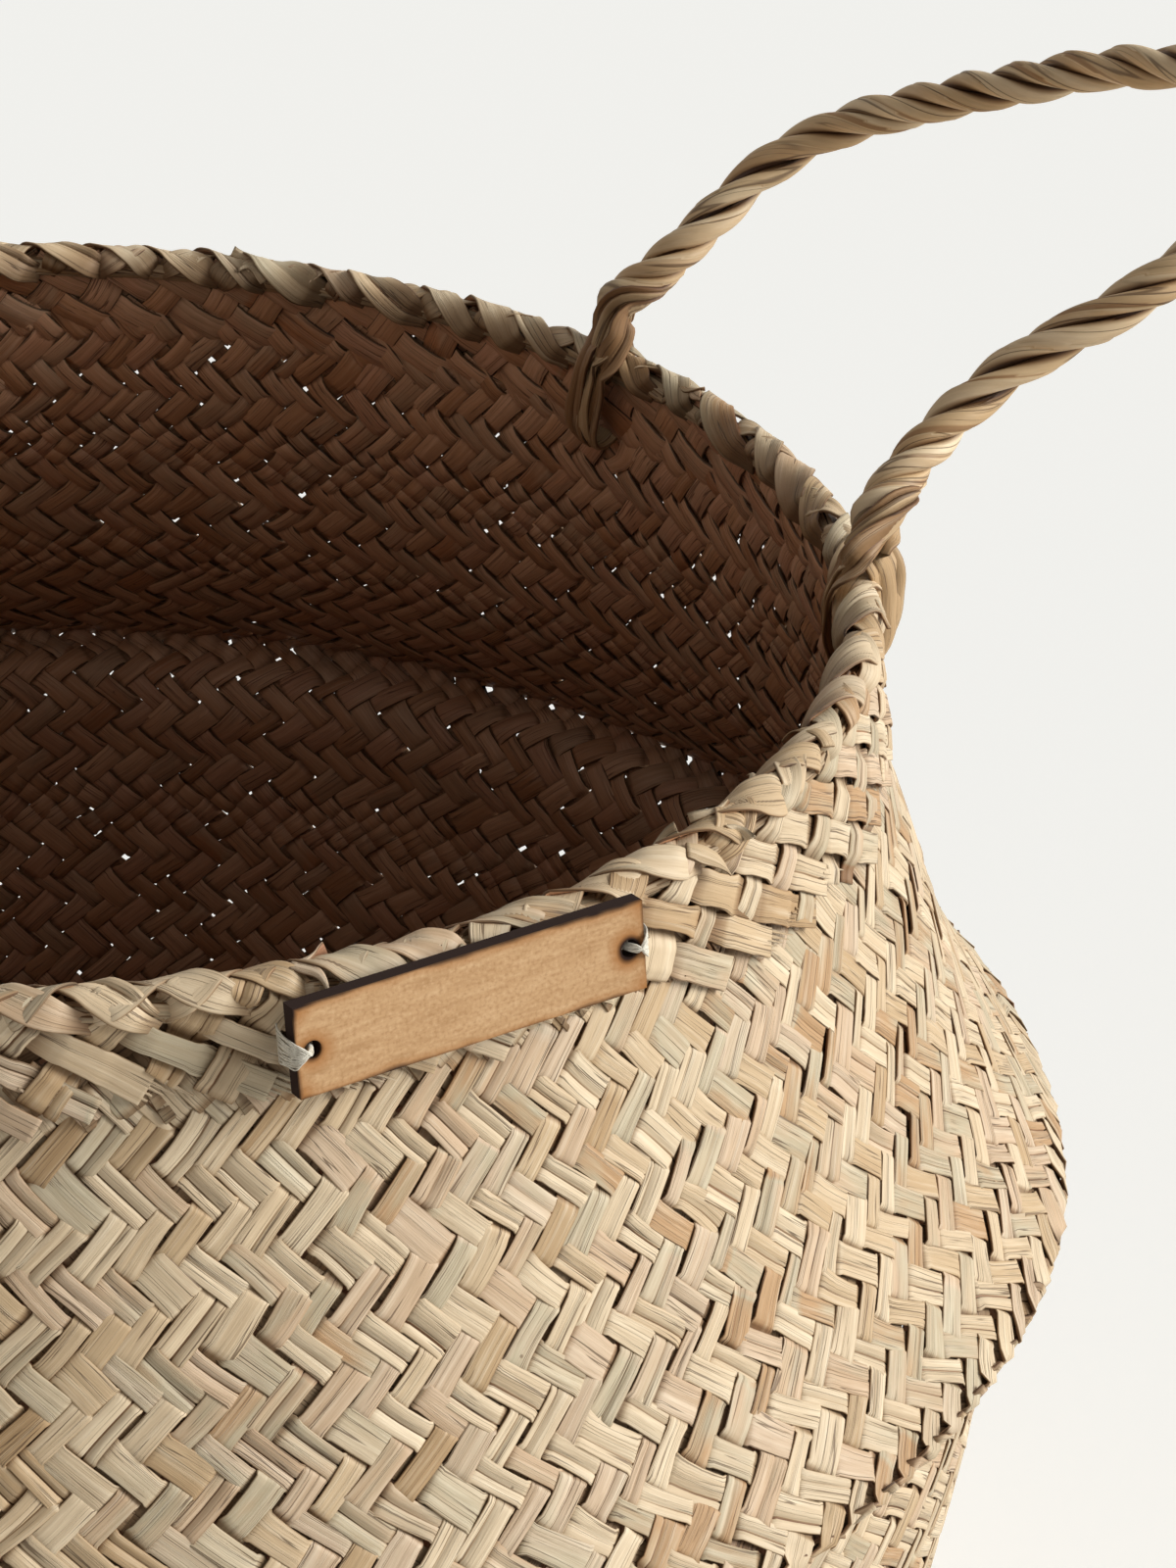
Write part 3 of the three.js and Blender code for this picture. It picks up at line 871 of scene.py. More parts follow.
# The way over the mouth, from inside to outside: outward and up from the middle of the rim border
RIM_ROUTE = MM * np.array((
    (-2.4, -12.0), (-3.0, -8.0), (-3.4, -5.0), (-2.9, -2.4), (-1.3, -0.7), (0.7, -0.1),
    (2.7, -1.0), (4.1, -3.2), (4.8, -6.0), (5.1, -9.0), (5.0, -12.0),
))


def rim_route():
    line = evenly(catmull_rom(RIM_ROUTE, 30), 400)
    along = unit(np.gradient(line, axis=0))
    return np.column_stack([line, -along[:, 1], along[:, 0]])


RIM_LINE = rim_route()


def rim_point(phi, share, rise):
    """A point on the way over the mouth, and the direction that it faces."""
    steps = np.linspace(0, 1, len(RIM_LINE))
    u, w, nu, nw = (np.interp(share, steps, column) for column in RIM_LINE.T)
    return round_axis(RIM_RADIUS + u + rise * nu, phi, RIM_Z + w + rise * nw), unit(round_axis(nu, phi, nw))


def rim_leaves(name, share_start, share_end, advance, rise, half_width, tips, lean, seed, offset=0.0):
    """One leaf per pair of plaited leaves, from one side of the mouth over the top to the other. advance is
    how many leaves it passes on its way, tips how much its end narrows, and lean how much it is tilted."""
    rng = np.random.default_rng(SEED + seed)
    t = np.linspace(0, 1, WRAP_SAMPLES)[None, :]
    pick = rng.normal(0, 1, (WRAPS, 8, 1))
    begin = share_start + 0.03 * pick[:, 0]
    end = share_end + 0.035 * pick[:, 1]
    share = begin + (end - begin) * t
    spacing = 2 * np.pi / WRAPS
    bow = 0.22 * pick[:, 2] * np.sin(np.pi * t)
    phi = spacing * (np.arange(WRAPS)[:, None] + offset + 0.14 * pick[:, 3] + advance * (t - 0.5) + bow)
    tuck = smooth_step(t, 0.76, 1.0) + smooth_step(-t, -0.18, 0.0)
    height = rise + WRAP_BULGE * pick[:, 4] * np.sin(np.pi * t) ** 2 - WRAP_TUCK * tuck
    centre, normal = rim_point(phi, share, height)
    width = half_width * (1 + 0.16 * pick[:, 5]) * (1 - tips * smooth_step(t, 0.70, 1.0))
    width = width * (1 - 0.3 * smooth_step(-t, -0.2, 0.0))
    # Painted shade: a leaf counts lower where it tucks under, and on the border's inner part, so its material
    # darkens it.
    level = 1 - 1.3 * tuck - INSIDE_SHADE * (1 - smooth_step(share, 0.34, 0.53))
    marks = leaf_marks(phi.shape, *rng.uniform(0, 1, (2, WRAPS, 1)), level)
    tilt = (lean + WRAP_LEAN_SPREAD * pick[:, 6]) * np.sin(np.pi * t)
    split = np.clip(pick[:, 7], 0, 1.6) + 0 * t, 0.5 * np.sin(3 * pick[:, 6]) + 0 * t
    return ribbons(name, centre, normal, width, WRAP_THICKNESS, "fine", marks, seed * MM,
                   BORDER_LOOK, tilt, LEAF_ARCH, split)


CORE_LEAVES = 8
CORE_SAMPLES = 420
CORE_DROP = 3.8 * MM
CORE_OUT = 0.4 * MM
CORE_ACROSS = 1.9 * MM
CORE_DEEP = 1.5 * MM
CORE_HALF_WIDTH = 1.7 * MM
CORE_ARCH = 120.0


def rim_core():
    """Leaves that run along inside the border and fill it."""
    rng = np.random.default_rng(SEED + 240)
    t = np.linspace(0, 1, CORE_SAMPLES)[None, :]
    k = np.arange(CORE_LEAVES)[:, None]
    phi = 2 * np.pi * (t * 1.02 + k / CORE_LEAVES)
    roll = 2 * np.pi * k / CORE_LEAVES + 0.5 * np.sin(9 * phi + k) - 5 * 2 * np.pi * t
    out = CORE_OUT + CORE_ACROSS * np.cos(roll)
    up = -CORE_DROP + CORE_DEEP * np.sin(roll)
    marks = leaf_marks(phi.shape, *rng.uniform(0, 1, (2, CORE_LEAVES, 1)), 0.1)
    centre = round_axis(RIM_RADIUS + out, phi, RIM_Z + up)
    normal = round_axis(np.cos(roll), phi, np.sin(roll))
    return ribbons("rim_core", centre, normal, np.full(phi.shape, CORE_HALF_WIDTH), WRAP_THICKNESS, "plain",
                   marks, 0.0, BORDER_LOOK, arch=CORE_ARCH)


# Loose leaf ends on the border: angle, share of the way over the mouth, heading, length and half width
STUBS_SEEN = (
    (17.0, 0.55, 40, 7 * MM, 1.4 * MM), (12.5, 0.50, 200, 6 * MM, 1.5 * MM),
    (-58.5, 0.42, 165, 7 * MM, 0.8 * MM), (-64.0, 0.60, 35, 7 * MM, 1.5 * MM),
    (-47.0, 0.55, -60, 7 * MM, 1.6 * MM), (-92.0, 0.52, 25, 5 * MM, 1.0 * MM),
)
STUBS_ELSEWHERE = 20
STUB_SAMPLES = 16
STUB_LENGTHS = (3 * MM, 7 * MM)
STUB_HALF_WIDTHS = (0.4 * MM, 1.3 * MM)
STUB_THICKNESS = 0.35 * MM
STUB_SEAT = 0.55 * MM
STUB_RISE = 1.3 * MM
STUB_TILT = 0.8 * MM
STUB_START = 3 * MM
STUB_ARCH = 160.0


def rim_stubs():
    rng = np.random.default_rng(SEED + 260)
    others = np.stack([
        rng.uniform(-180, 180, STUBS_ELSEWHERE), rng.uniform(0.3, 0.72, STUBS_ELSEWHERE),
        rng.uniform(-70, 70, STUBS_ELSEWHERE) + 180 * rng.integers(0, 2, STUBS_ELSEWHERE),
        rng.uniform(*STUB_LENGTHS, STUBS_ELSEWHERE), rng.uniform(*STUB_HALF_WIDTHS, STUBS_ELSEWHERE),
    ], -1)
    table = np.vstack([STUBS_SEEN, others])
    count = len(table)
    phi0, share0, heading, length, half = (table[:, k:k + 1] for k in range(5))
    heading = np.radians(heading)
    t = np.linspace(-0.25, 1, STUB_SAMPLES)[None, :]
    route = np.linalg.norm(np.diff(RIM_LINE[:, :2], axis=0), axis=1).sum()
    bend = rng.uniform(-0.8, 0.8, (count, 1)) * t * np.abs(t)
    phi = np.radians(phi0) + np.cos(heading + bend) * length * t / RIM_RADIUS
    share = share0 + np.sin(heading + bend) * length * t / route
    rise = STUB_RISE * rng.uniform(0.3, 1.0, (count, 1)) * t * np.abs(t) + STUB_SEAT
    centre, normal = rim_point(phi, share, rise)
    width = half * (1 - 0.75 * smooth_step(t, 0.45, 1.0)) * (1 + 0.1 * np.sin(7 * t + heading))
    marks = leaf_marks(phi.shape, *rng.uniform(0, 1, (2, count, 1)), 1)
    tilt = rng.normal(0, STUB_TILT, (count, 1)) * t
    return ribbons("rim_loose_ends", centre, normal, width, STUB_THICKNESS, "plain", marks, STUB_START,
                   BORDER_LOOK, tilt, STUB_ARCH)


WRAP_RISE = 0.35 * MM
WRAP_LEAN = 0.3 * MM
UNDER_RISE = -0.1 * MM
UNDER_LEAN = -0.15 * MM
UNDER_WIDTH_SHARE = 0.9


def rim_pieces():
    return [
        rim_leaves("rim_wraps", share_start=0.26, share_end=0.70, advance=1.65, rise=WRAP_RISE,
                   half_width=WRAP_HALF_WIDTH, tips=0.45, lean=WRAP_LEAN, seed=210),
        rim_leaves("rim_under_leaves", share_start=0.69, share_end=0.28, advance=1.1, rise=UNDER_RISE,
                   half_width=WRAP_HALF_WIDTH * UNDER_WIDTH_SHARE, tips=0.4, lean=UNDER_LEAN, seed=211,
                   offset=0.5),
        rim_core(),
        rim_stubs(),
    ]


# Handle ropes: three plies, each rolled from two leaves, laid up right-handed

ARCH_SHARES = (
    (1.00, 0.00), (0.94, 0.075), (0.96, 0.21), (1.01, 0.37), (0.96, 0.49), (0.79, 0.60), (0.60, 0.70),
    (0.36, 0.80), (0.14, 0.89), (-0.10, 0.96), (-0.38, 1.00), (-0.66, 0.97), (-0.88, 0.88), (-0.98, 0.76),
    (-1.00, 0.645), (-0.95, 0.51), (-0.88, 0.39), (-0.86, 0.265), (-0.90, 0.13), (-1.00, 0.00),
)
HANDLE_HEIGHT = 112 * MM
HANDLE_LEAN = math.radians(56)
PLIES = 3
PLY_OFFSET = 2.3 * MM
PLY_ACROSS = 2.05 * MM
PLY_DEEP = 2.0 * MM
ROPE_LAY = 37 * MM
FOOT_LAY = 26 * MM
FOOT_TWIST_START = 8 * MM
FOOT_TWIST_LENGTH = 45 * MM
FOOT_ROUNDING = 7 * MM
FOOT_DROP = 7.5 * MM
FOOT_OUT = 1.9 * MM
FOOT_SMOOTHINGS = 16
ROPE_STEP = 1.0 * MM
PLY_POINTS = 34
PLY_LEAVES = 2
LEAF_STEP_SHARE = 0.13
# Lengths of the slow waves along a rope, and ranges that some are drawn from
LAY_WAVE = 97 * MM
PLY_TURN_WAVE = 17 * MM
PLY_OFFSET_WAVE = 19 * MM
PLY_SWELL_WAVE = 11 * MM
PLY_BUMP_WAVE = 4.3 * MM
LEAF_TURN_WAVE = 58 * MM
LEAF_WANDER_WAVES = (13 * MM, 30 * MM)
LEAF_STEP_WAVES = (9 * MM, 21 * MM)


def turned(points, turn):
    """Points turned about the basket's axis."""
    c, s = math.cos(turn), math.sin(turn)
    return points @ np.array([[c, s, 0], [-s, c, 0], [0, 0, 1]])


def rope_middle():
    """The rope's middle line on the right side, its tangents, and two cross directions."""
    up = np.array([math.sin(HANDLE_LEAN), 0, math.cos(HANDLE_LEAN)])
    across = np.array([0, 1, 0])
    foot = np.array([HINGE_X, 0, HINGE_Z])
    shares = np.array(ARCH_SHARES)
    points = foot + shares[:, :1] * EYE_HALF_SPACING * across + shares[:, 1:] * HANDLE_HEIGHT * up
    line = catmull_rom(points, 20)
    drop = np.array([0, 0, FOOT_DROP])
    sinks = np.linspace(1, 0, 8, endpoint=False)[:, None]
    line = np.vstack([line[0] - sinks * drop, line, line[-1] - sinks[::-1] * drop])
    length = np.linalg.norm(np.diff(line, axis=0), axis=1).sum()
    line = evenly(line, int(length / ROPE_STEP))
    for _ in range(FOOT_SMOOTHINGS):
        line[1:-1] = (line[:-2] + 2 * line[1:-1] + line[2:]) / 4
    near = np.minimum(np.arange(len(line)), np.arange(len(line))[::-1]) * ROPE_STEP
    line[:, 0] += FOOT_OUT * (1 - smooth_step(near, FOOT_DROP, FOOT_TWIST_LENGTH))
    along = unit(np.gradient(line, axis=0))
    first = np.broadcast_to(np.cross(up, across), line.shape)
    return line, along, first, np.cross(along, first), length


ROPE_LINE, ROPE_ALONG, ROPE_FIRST, ROPE_SECOND, ROPE_LENGTH = rope_middle()


def rope_turns(s):
    """Turns of the lay along the rope: it is twisted harder near its feet."""
    near = np.minimum(s, ROPE_LENGTH - s)
    lay = FOOT_LAY + (ROPE_LAY - FOOT_LAY) * smooth_step(near, FOOT_TWIST_START, FOOT_TWIST_LENGTH)
    return summed(np.diff(s) / lay[1:])


def rope_tubes(side):
    """The plies of one handle. Their leaves' edges stand up as steps."""
    rng = np.random.default_rng(SEED + 400 + side)
    count = len(ROPE_LINE)
    s = np.linspace(0, ROPE_LENGTH, count)
    verts, leaf, marks = [], [], []
    lay = 2 * np.pi * rope_turns(s) + 0.35 * np.sin(2 * np.pi * s / LAY_WAVE)
    ends = window(s, 0, FOOT_ROUNDING, ROPE_LENGTH - FOOT_ROUNDING, ROPE_LENGTH)
    b = np.linspace(0, 2 * np.pi, PLY_POINTS, endpoint=False)[None, :]
    for ply in range(PLIES):
        angle = lay + 2 * np.pi * ply / PLIES + 0.12 * np.sin(s / PLY_TURN_WAVE + 2 * ply)
        out = ROPE_FIRST * np.cos(angle)[:, None] + ROPE_SECOND * np.sin(angle)[:, None]
        offset = PLY_OFFSET * (1 + 0.07 * np.sin(s / PLY_OFFSET_WAVE + ply * 2)) * (0.6 + 0.4 * ends)
        middle = ROPE_LINE + out * offset[:, None]
        heading = unit(np.gradient(middle, axis=0))
        beside = unit(np.cross(heading, out))
        outward = np.cross(beside, heading)
        swelling = 1 + 0.09 * np.sin(s / PLY_SWELL_WAVE + 3 * ply) + 0.04 * np.sin(s / PLY_BUMP_WAVE + ply)
        radius = np.ones((count, PLY_POINTS)) * (swelling * (0.62 + 0.38 * ends))[:, None]
        tone = np.zeros((count, PLY_POINTS))
        groove_shade = np.zeros((count, PLY_POINTS))
        first_tone = rng.uniform(0.2, 0.9)
        for leaf_number in range(PLY_LEAVES):
            place = leaf_number * 2 * np.pi / PLY_LEAVES + rng.uniform(-0.4, 0.4)
            wander = 0.5 * np.sin(s / rng.uniform(*LEAF_WANDER_WAVES) + rng.uniform(0, 6))
            place = place + wander - s / LEAF_TURN_WAVE
            gap = (b - place[:, None]) % (2 * np.pi)
            wave = np.sin(s / rng.uniform(*LEAF_STEP_WAVES) + leaf_number)[:, None]
            radius += LEAF_STEP_SHARE * (0.7 + 0.5 * wave) * np.exp(-(gap / 0.75)) * (gap > 0.02)
            radius -= 0.10 * np.exp(-((2 * np.pi - gap) / 0.16) ** 2)
            groove_shade += np.exp(-((2 * np.pi - gap) / 0.13) ** 2)
            covered = gap < 2 * np.pi / PLY_LEAVES
            tone = np.where(covered, first_tone + 0.45 * math.sin(2.4 * leaf_number + ply), tone)
        x = radius * PLY_ACROSS * np.cos(b)
        y = radius * PLY_DEEP * np.sin(b)
        verts.append(middle[:, None] + beside[:, None] * x[..., None] + outward[:, None] * y[..., None])
        leaf.append(np.stack(np.broadcast_arrays(
            s[:, None] + ply * ROPE_LENGTH, np.abs(b / np.pi - 1) * 0.55, np.ones((count, PLY_POINTS)),
        ), -1))
        # Painted shade: a ply darkens on its sides that face into the rope, towards the valleys between
        # plies, and in the grooves at its leaves' edges.
        level = 0.7 + np.minimum(np.sin(b) - 0.40, 0) * 2.2 - 0.45 * groove_shade
        marks.append(leaf_marks(tone.shape, np.clip(tone, 0.02, 0.98), rng.uniform(0, 1), level))
    return np.stack(verts), np.stack(leaf), np.stack(marks)


def blend_at_hinge(piece):
    """Bakes the piece's placement into its mesh."""
    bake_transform(piece)


def add_rope(side, name, node):
    verts, leaf, marks = rope_tubes(side)
    quads, caps = tube_faces(*verts.shape[:3])
    verts = turned(verts.reshape(-1, 3), math.pi * side)
    piece = new_piece(name, verts, quads, ROPE_LOOK, caps)
    set_attribute(piece, "leaf", leaf.reshape(-1, 3))
    set_attribute(piece, "mark", marks.reshape(-1, 3))
    blend_at_hinge(piece)
    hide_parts(node)


# Rope eyes: flat leaves of the rope, round the rim border and through the wall

# Places round the rim border's middle: outward, up and sideways
EYE_ROUTE = MM * np.array((
    (-0.6, 7.5, -4.2), (-2.0, 4.8, -4.0), (-3.6, 1.6, -3.6), (-5.0, -2.6, -3.0), (-5.0, -8.5, -1.4),
    (-3.9, -14.0, 0.4), (-2.4, -18.6, 1.6), (-0.4, -21.4, 1.2), (2.2, -20.6, 0.4), (4.2, -17.0, 0.0),
    (5.9, -13.0, 0.0), (6.8, -8.5, 0.0), (6.9, -3.5, 0.0), (5.9, 1.0, 0.0), (4.2, 4.6, 0.0),
))
EYE_LANES = (-2.7 * MM, 0, 2.6 * MM)
EYE_FANS = (-1.7 * MM, -0.6 * MM, 0)        # the outer leaves lie side by side outward too
# Where the leaves leave the rope and come back to it: way up the rope, degrees round it, way out of it
EYE_LEAVING = (
    (14 * MM, 185, 2.6 * MM), (10 * MM, 150, 3.8 * MM), (6.5 * MM, 115, 4.2 * MM), (3 * MM, 88, 4.5 * MM),
)
EYE_BACK = ((2.5 * MM, 150, 3.4 * MM), (6 * MM, 150, 2.1 * MM), (10 * MM, 150, 0.8 * MM))
EYE_CASTS = (22, 20)                        # degrees between two lanes, leaving and coming back
EYE_LANE_SINK = 0.3 * MM
EYE_NARROW_DEPTH = 21 * MM
EYE_NARROW_REACH = 6 * MM
EYE_OUTSIDE = 5.5 * MM
EYE_FAN_FROM = -13 * MM
EYE_FAN_TO = -5 * MM
EYE_FAN_OUT = 4 * MM
EYE_JITTERS = (0.25 * MM, 0.2 * MM)
EYE_FACING_OUT = 0.5 * MM
EYE_FACING_DOWN = 6 * MM
EYE_SAMPLES = 80
EYE_TONES = np.array([[0.10], [0.62], [0.04]])
EYE_SPLITS = np.array([[0.3], [-0.2], [0.1]])
EYE_TURN_SHARES = np.array([[1.0], [0.75], [1.1]])
EYE_HALF_WIDTH = 2.6 * MM
EYE_LEAF_THICKNESS = 0.6 * MM
EYE_TILT = 0.4 * MM
EYE_OUTER_TURN = math.radians(58)


def eye_leaves(turn, foot_side, name, node):
    line, along = ROPE_LINE, ROPE_ALONG
    if foot_side < 0:
        line, along = line[::-1], -along[::-1]
    angle = foot_side * EYE_ANGLE
    out, beside = round_axis(1, np.array([angle, angle + QUARTER]), np.zeros(2))
    middle = out * RIM_RADIUS + np.array([0, 0, RIM_Z])
    rng = np.random.default_rng(SEED + 500 + foot_side + (7 if turn else 0))
    plane = np.array([math.sin(HANDLE_LEAN), 0, math.cos(HANDLE_LEAN)])
    over = np.cross(plane, [0, 1, 0])
    paths, normals = [], []
    for lane, place in enumerate(EYE_LANES):
        points, facing = [], []

        def on_rope(reach, cast, lift):
            at = int((reach + FOOT_DROP) / ROPE_STEP)
            cross_way = unit(np.cross(along[at], over))
            away = over * math.cos(math.radians(cast)) + cross_way * math.sin(math.radians(cast))
            points.append(line[at] + away * lift)
            facing.append(away)

        for reach, cast, lift in EYE_LEAVING:
            on_rope(reach, cast - EYE_CASTS[0] * (lane - 1), lift - EYE_LANE_SINK * (lane != 1))
        for u, w, aside in EYE_ROUTE:
            squeeze = 1 - 0.5 * math.exp(-((w + EYE_NARROW_DEPTH) / EYE_NARROW_REACH) ** 2)
            squeeze *= 0.55 if u > EYE_OUTSIDE else 1.0
            side_step = place * squeeze + aside + rng.normal(0, EYE_JITTERS[0])
            fan = EYE_FANS[lane] * smooth_step(w, EYE_FAN_FROM, EYE_FAN_TO) * (u > EYE_FAN_OUT)
            away = out * (u + fan + rng.normal(0, EYE_JITTERS[1])) + beside * side_step
            points.append(middle + away + np.array([0, 0, w]))
            facing.append(unit(out * (u - EYE_FACING_OUT) + np.array([0, 0, w + EYE_FACING_DOWN])))
        for reach, cast, lift in EYE_BACK:
            on_rope(reach, cast + EYE_CASTS[1] * lane, lift)
        paths.append(evenly(catmull_rom(points, 12), EYE_SAMPLES))
        normals.append(unit(evenly(catmull_rom(facing, 12), EYE_SAMPLES)))
    centre, normal = np.stack(paths), np.stack(normals)
    t = np.linspace(0, 1, EYE_SAMPLES)[None, :]
    heading = unit(np.gradient(centre, axis=1))
    twist = EYE_OUTER_TURN * window(t, 0.56, 0.66, 0.84, 0.96) * EYE_TURN_SHARES * foot_side
    normal = normal * np.cos(twist)[..., None] + np.cross(heading, normal) * np.sin(twist)[..., None]
    ends = window(t, 0, 0.12, 0.88, 1)
    width = EYE_HALF_WIDTH * (1 + 0.12 * np.sin(9 * t + np.arange(3)[:, None])) * (0.45 + 0.55 * ends)
    tone = EYE_TONES + rng.uniform(-0.04, 0.06, (3, 1))
    tone = tone + (0.45 - tone) * smooth_step(t, 0.5, 0.6)
    marks = leaf_marks(twist.shape, tone, rng.uniform(0, 1, (3, 1)), 0.15)
    tilt = EYE_TILT * np.sin(6 * t + rng.uniform(0, 6, (3, 1)))
    split = np.full(twist.shape, 1.2), EYE_SPLITS + 0 * t
    piece = ribbons(name, turned(centre, turn), turned(normal, turn), width, EYE_LEAF_THICKNESS, "fine",
                    marks, 0.0, ROPE_LOOK, tilt, LEAF_ARCH, split)
    blend_at_hinge(piece)
    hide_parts(node)


# Tag: the bare plate with burnt edges, and its threads

TAG_LENGTH = 60 * MM
TAG_HEIGHT = 14.8 * MM
TAG_THICKNESS = 3 * MM
TAG_HOLE_RADIUS = 1.5 * MM
TAG_HOLE_SPACING = 54.7 * MM
TAG_DEPTH = 6.4 * MM
TAG_ANGLE = math.radians(-82.7)
TAG_LEAN = math.radians(8)
TAG_ROLL = math.radians(2.1)
TAG_SEAT = RIM_RADIUS + (ROLL_RADIUS + SEAT_GAP + TAG_DEPTH * math.sin(TAG_LEAN)) / math.cos(TAG_LEAN)
BEVEL = 0.28 * MM


def tag_axes():
    out, tangent = round_axis(1, np.array([TAG_ANGLE, TAG_ANGLE + QUARTER]), np.zeros(2))
    z = np.array([0, 0, 1])
    leaning = -math.sin(TAG_LEAN) * out + math.cos(TAG_LEAN) * z
    normal = math.cos(TAG_LEAN) * out + math.sin(TAG_LEAN) * z
    x = math.cos(TAG_ROLL) * tangent + math.sin(TAG_ROLL) * leaning
    y = math.cos(TAG_ROLL) * leaning - math.sin(TAG_ROLL) * tangent
    return out * TAG_SEAT + z * (RIM_Z - TAG_DEPTH), x, y, normal


TAG_ORIGIN, TAG_X, TAG_Y, TAG_NORMAL = tag_axes()


def add_tag():
    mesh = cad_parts["tag_plate"].data.copy()
    mesh.name = "tag_board"
    board = put_in_scene("tag_board", mesh)
    mesh.materials.clear()
    mesh.materials.append(tag_wood)
    bevel = board.modifiers.new("worn_edges", "BEVEL")
    bevel.width = BEVEL
    bevel.segments = 2
    bevel.limit_method = "ANGLE"
    bevel.angle_limit = math.radians(40)
    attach(board, "basket")
    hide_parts("tag_plate")


TIE_STRANDS = 22
TIE_SAMPLES = 46
TIE_POINTS = 6
TIE_RADIUS = 0.14 * MM
TIE_IN_HOLE = 0.55 * MM
TIE_SPACING = 0.20 * MM
TIE_LOOSENESS = 0.5 * MM
TIE_END_GAP = 0.5 * MM
TIE_HELPER = (0.31, 0.52, 0.79)         # a direction that no thread runs along
# A thread's way from the hole round the plate's end. Each row gives the share of the way from hole to end and
# the way further out, the shares of its place in the hole (along and up), the share of its place among the
# others and how much that varies, the share of the plate's thickness, the height above that, and the share of
# its looseness.
TIE_ROUTE = (
    (0, 0, 1, 1, 0, 0, 0, -0.5 * MM, 0),
    (0, 0, 1, 1, 0, 0, 0, 1.6 * MM, 0),
    (0, 0.9 * MM, 0.5, 0.9, 0, 0, 1, 0.45 * MM, 1),
    (0.5, 0.6 * MM, 0, 0, 0.6, 0, 1, 0.6 * MM, 1),
    (1, -0.1 * MM, 0, 0, 1, 0.12 * MM, 1, 0.05 * MM, 0.4),
    (1, 0.35 * MM, 0, 0, 1.2, 0.15 * MM, 0.4, 0, 0),
    (1, 0.3 * MM, 0, 0, 1.35, 0.2 * MM, 0, -1.04 * MM, 0),
    (1, -0.3 * MM, 0, 0, 1.4, 0, 0, -2.6 * MM, 0),
)


def add_tie(end, name, node):
    rng = np.random.default_rng(SEED + 600 + end)
    hole = end * TAG_HOLE_SPACING / 2
    edge = end * (TAG_LENGTH / 2 + TIE_END_GAP)
    paths = []
    for strand in range(TIE_STRANDS):
        a = 2 * np.pi * strand / TIE_STRANDS
        spread = (strand - (TIE_STRANDS - 1) / 2) * TIE_SPACING
        lift = rng.uniform(0, TIE_LOOSENESS)
        points = []
        for way, outward, along, up, apart, varies, thick, height, loose in TIE_ROUTE:
            x = hole + way * (edge - hole) + end * outward + along * TIE_IN_HOLE * math.cos(a)
            y = up * TIE_IN_HOLE * math.sin(a) + apart * spread + (rng.normal(0, varies) if varies else 0)
            z = TAG_THICKNESS * thick + height + loose * lift
            points.append(TAG_ORIGIN + TAG_X * x + TAG_Y * y + TAG_NORMAL * z)
        paths.append(evenly(catmull_rom(points, 10), TIE_SAMPLES))
    centre = np.stack(paths)
    heading = unit(np.gradient(centre, axis=1))
    first = unit(np.cross(heading, TIE_HELPER))
    second = np.cross(heading, first)
    b = np.linspace(0, 2 * np.pi, TIE_POINTS, endpoint=False)[:, None]
    ring = first[:, :, None] * np.cos(b) + second[:, :, None] * np.sin(b)
    verts = centre[:, :, None] + ring * TIE_RADIUS
    quads, caps = tube_faces(*verts.shape[:3])
    piece = new_piece(name, verts.reshape(-1, 3), quads, (cotton, "basket", "tie_thread"), caps)
    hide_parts(node)


BURN_WOBBLE = 2.4 * MM
EDGE_BROWN = (0.2 * MM, 1.5 * MM)
CORNER_BROWN = (1.0 * MM, 5.5 * MM)
HOLE_BROWN_RADIUS = 4.4 * MM
EDGE_CHAR = (-0.3 * MM, 0.55 * MM)
HOLE_CHAR_WIDTH = 0.8 * MM
FACE_CHAR_FROM = 0.45 * MM
FACE_CHAR_TO = 0.12 * MM
WOOD_SHADES = ((0.3, (0.455, 0.270, 0.130)), (0.52, (0.545, 0.340, 0.175)), (0.75, (0.610, 0.400, 0.220)))
WOOD_DARK = (0.36, 0.19, 0.08, 1)
WOOD_PALE = (0.74, 0.53, 0.32, 1)
WOOD_BROWNED = (0.36, 0.145, 0.035, 1)
WOOD_CHARRED = (0.022, 0.010, 0.007, 1)
COTTON_SHADES = ((0.3, (0.58, 0.55, 0.47)), (0.6, (0.80, 0.78, 0.69)))
COTTON_STAIN = (0.42, 0.36, 0.26, 1)


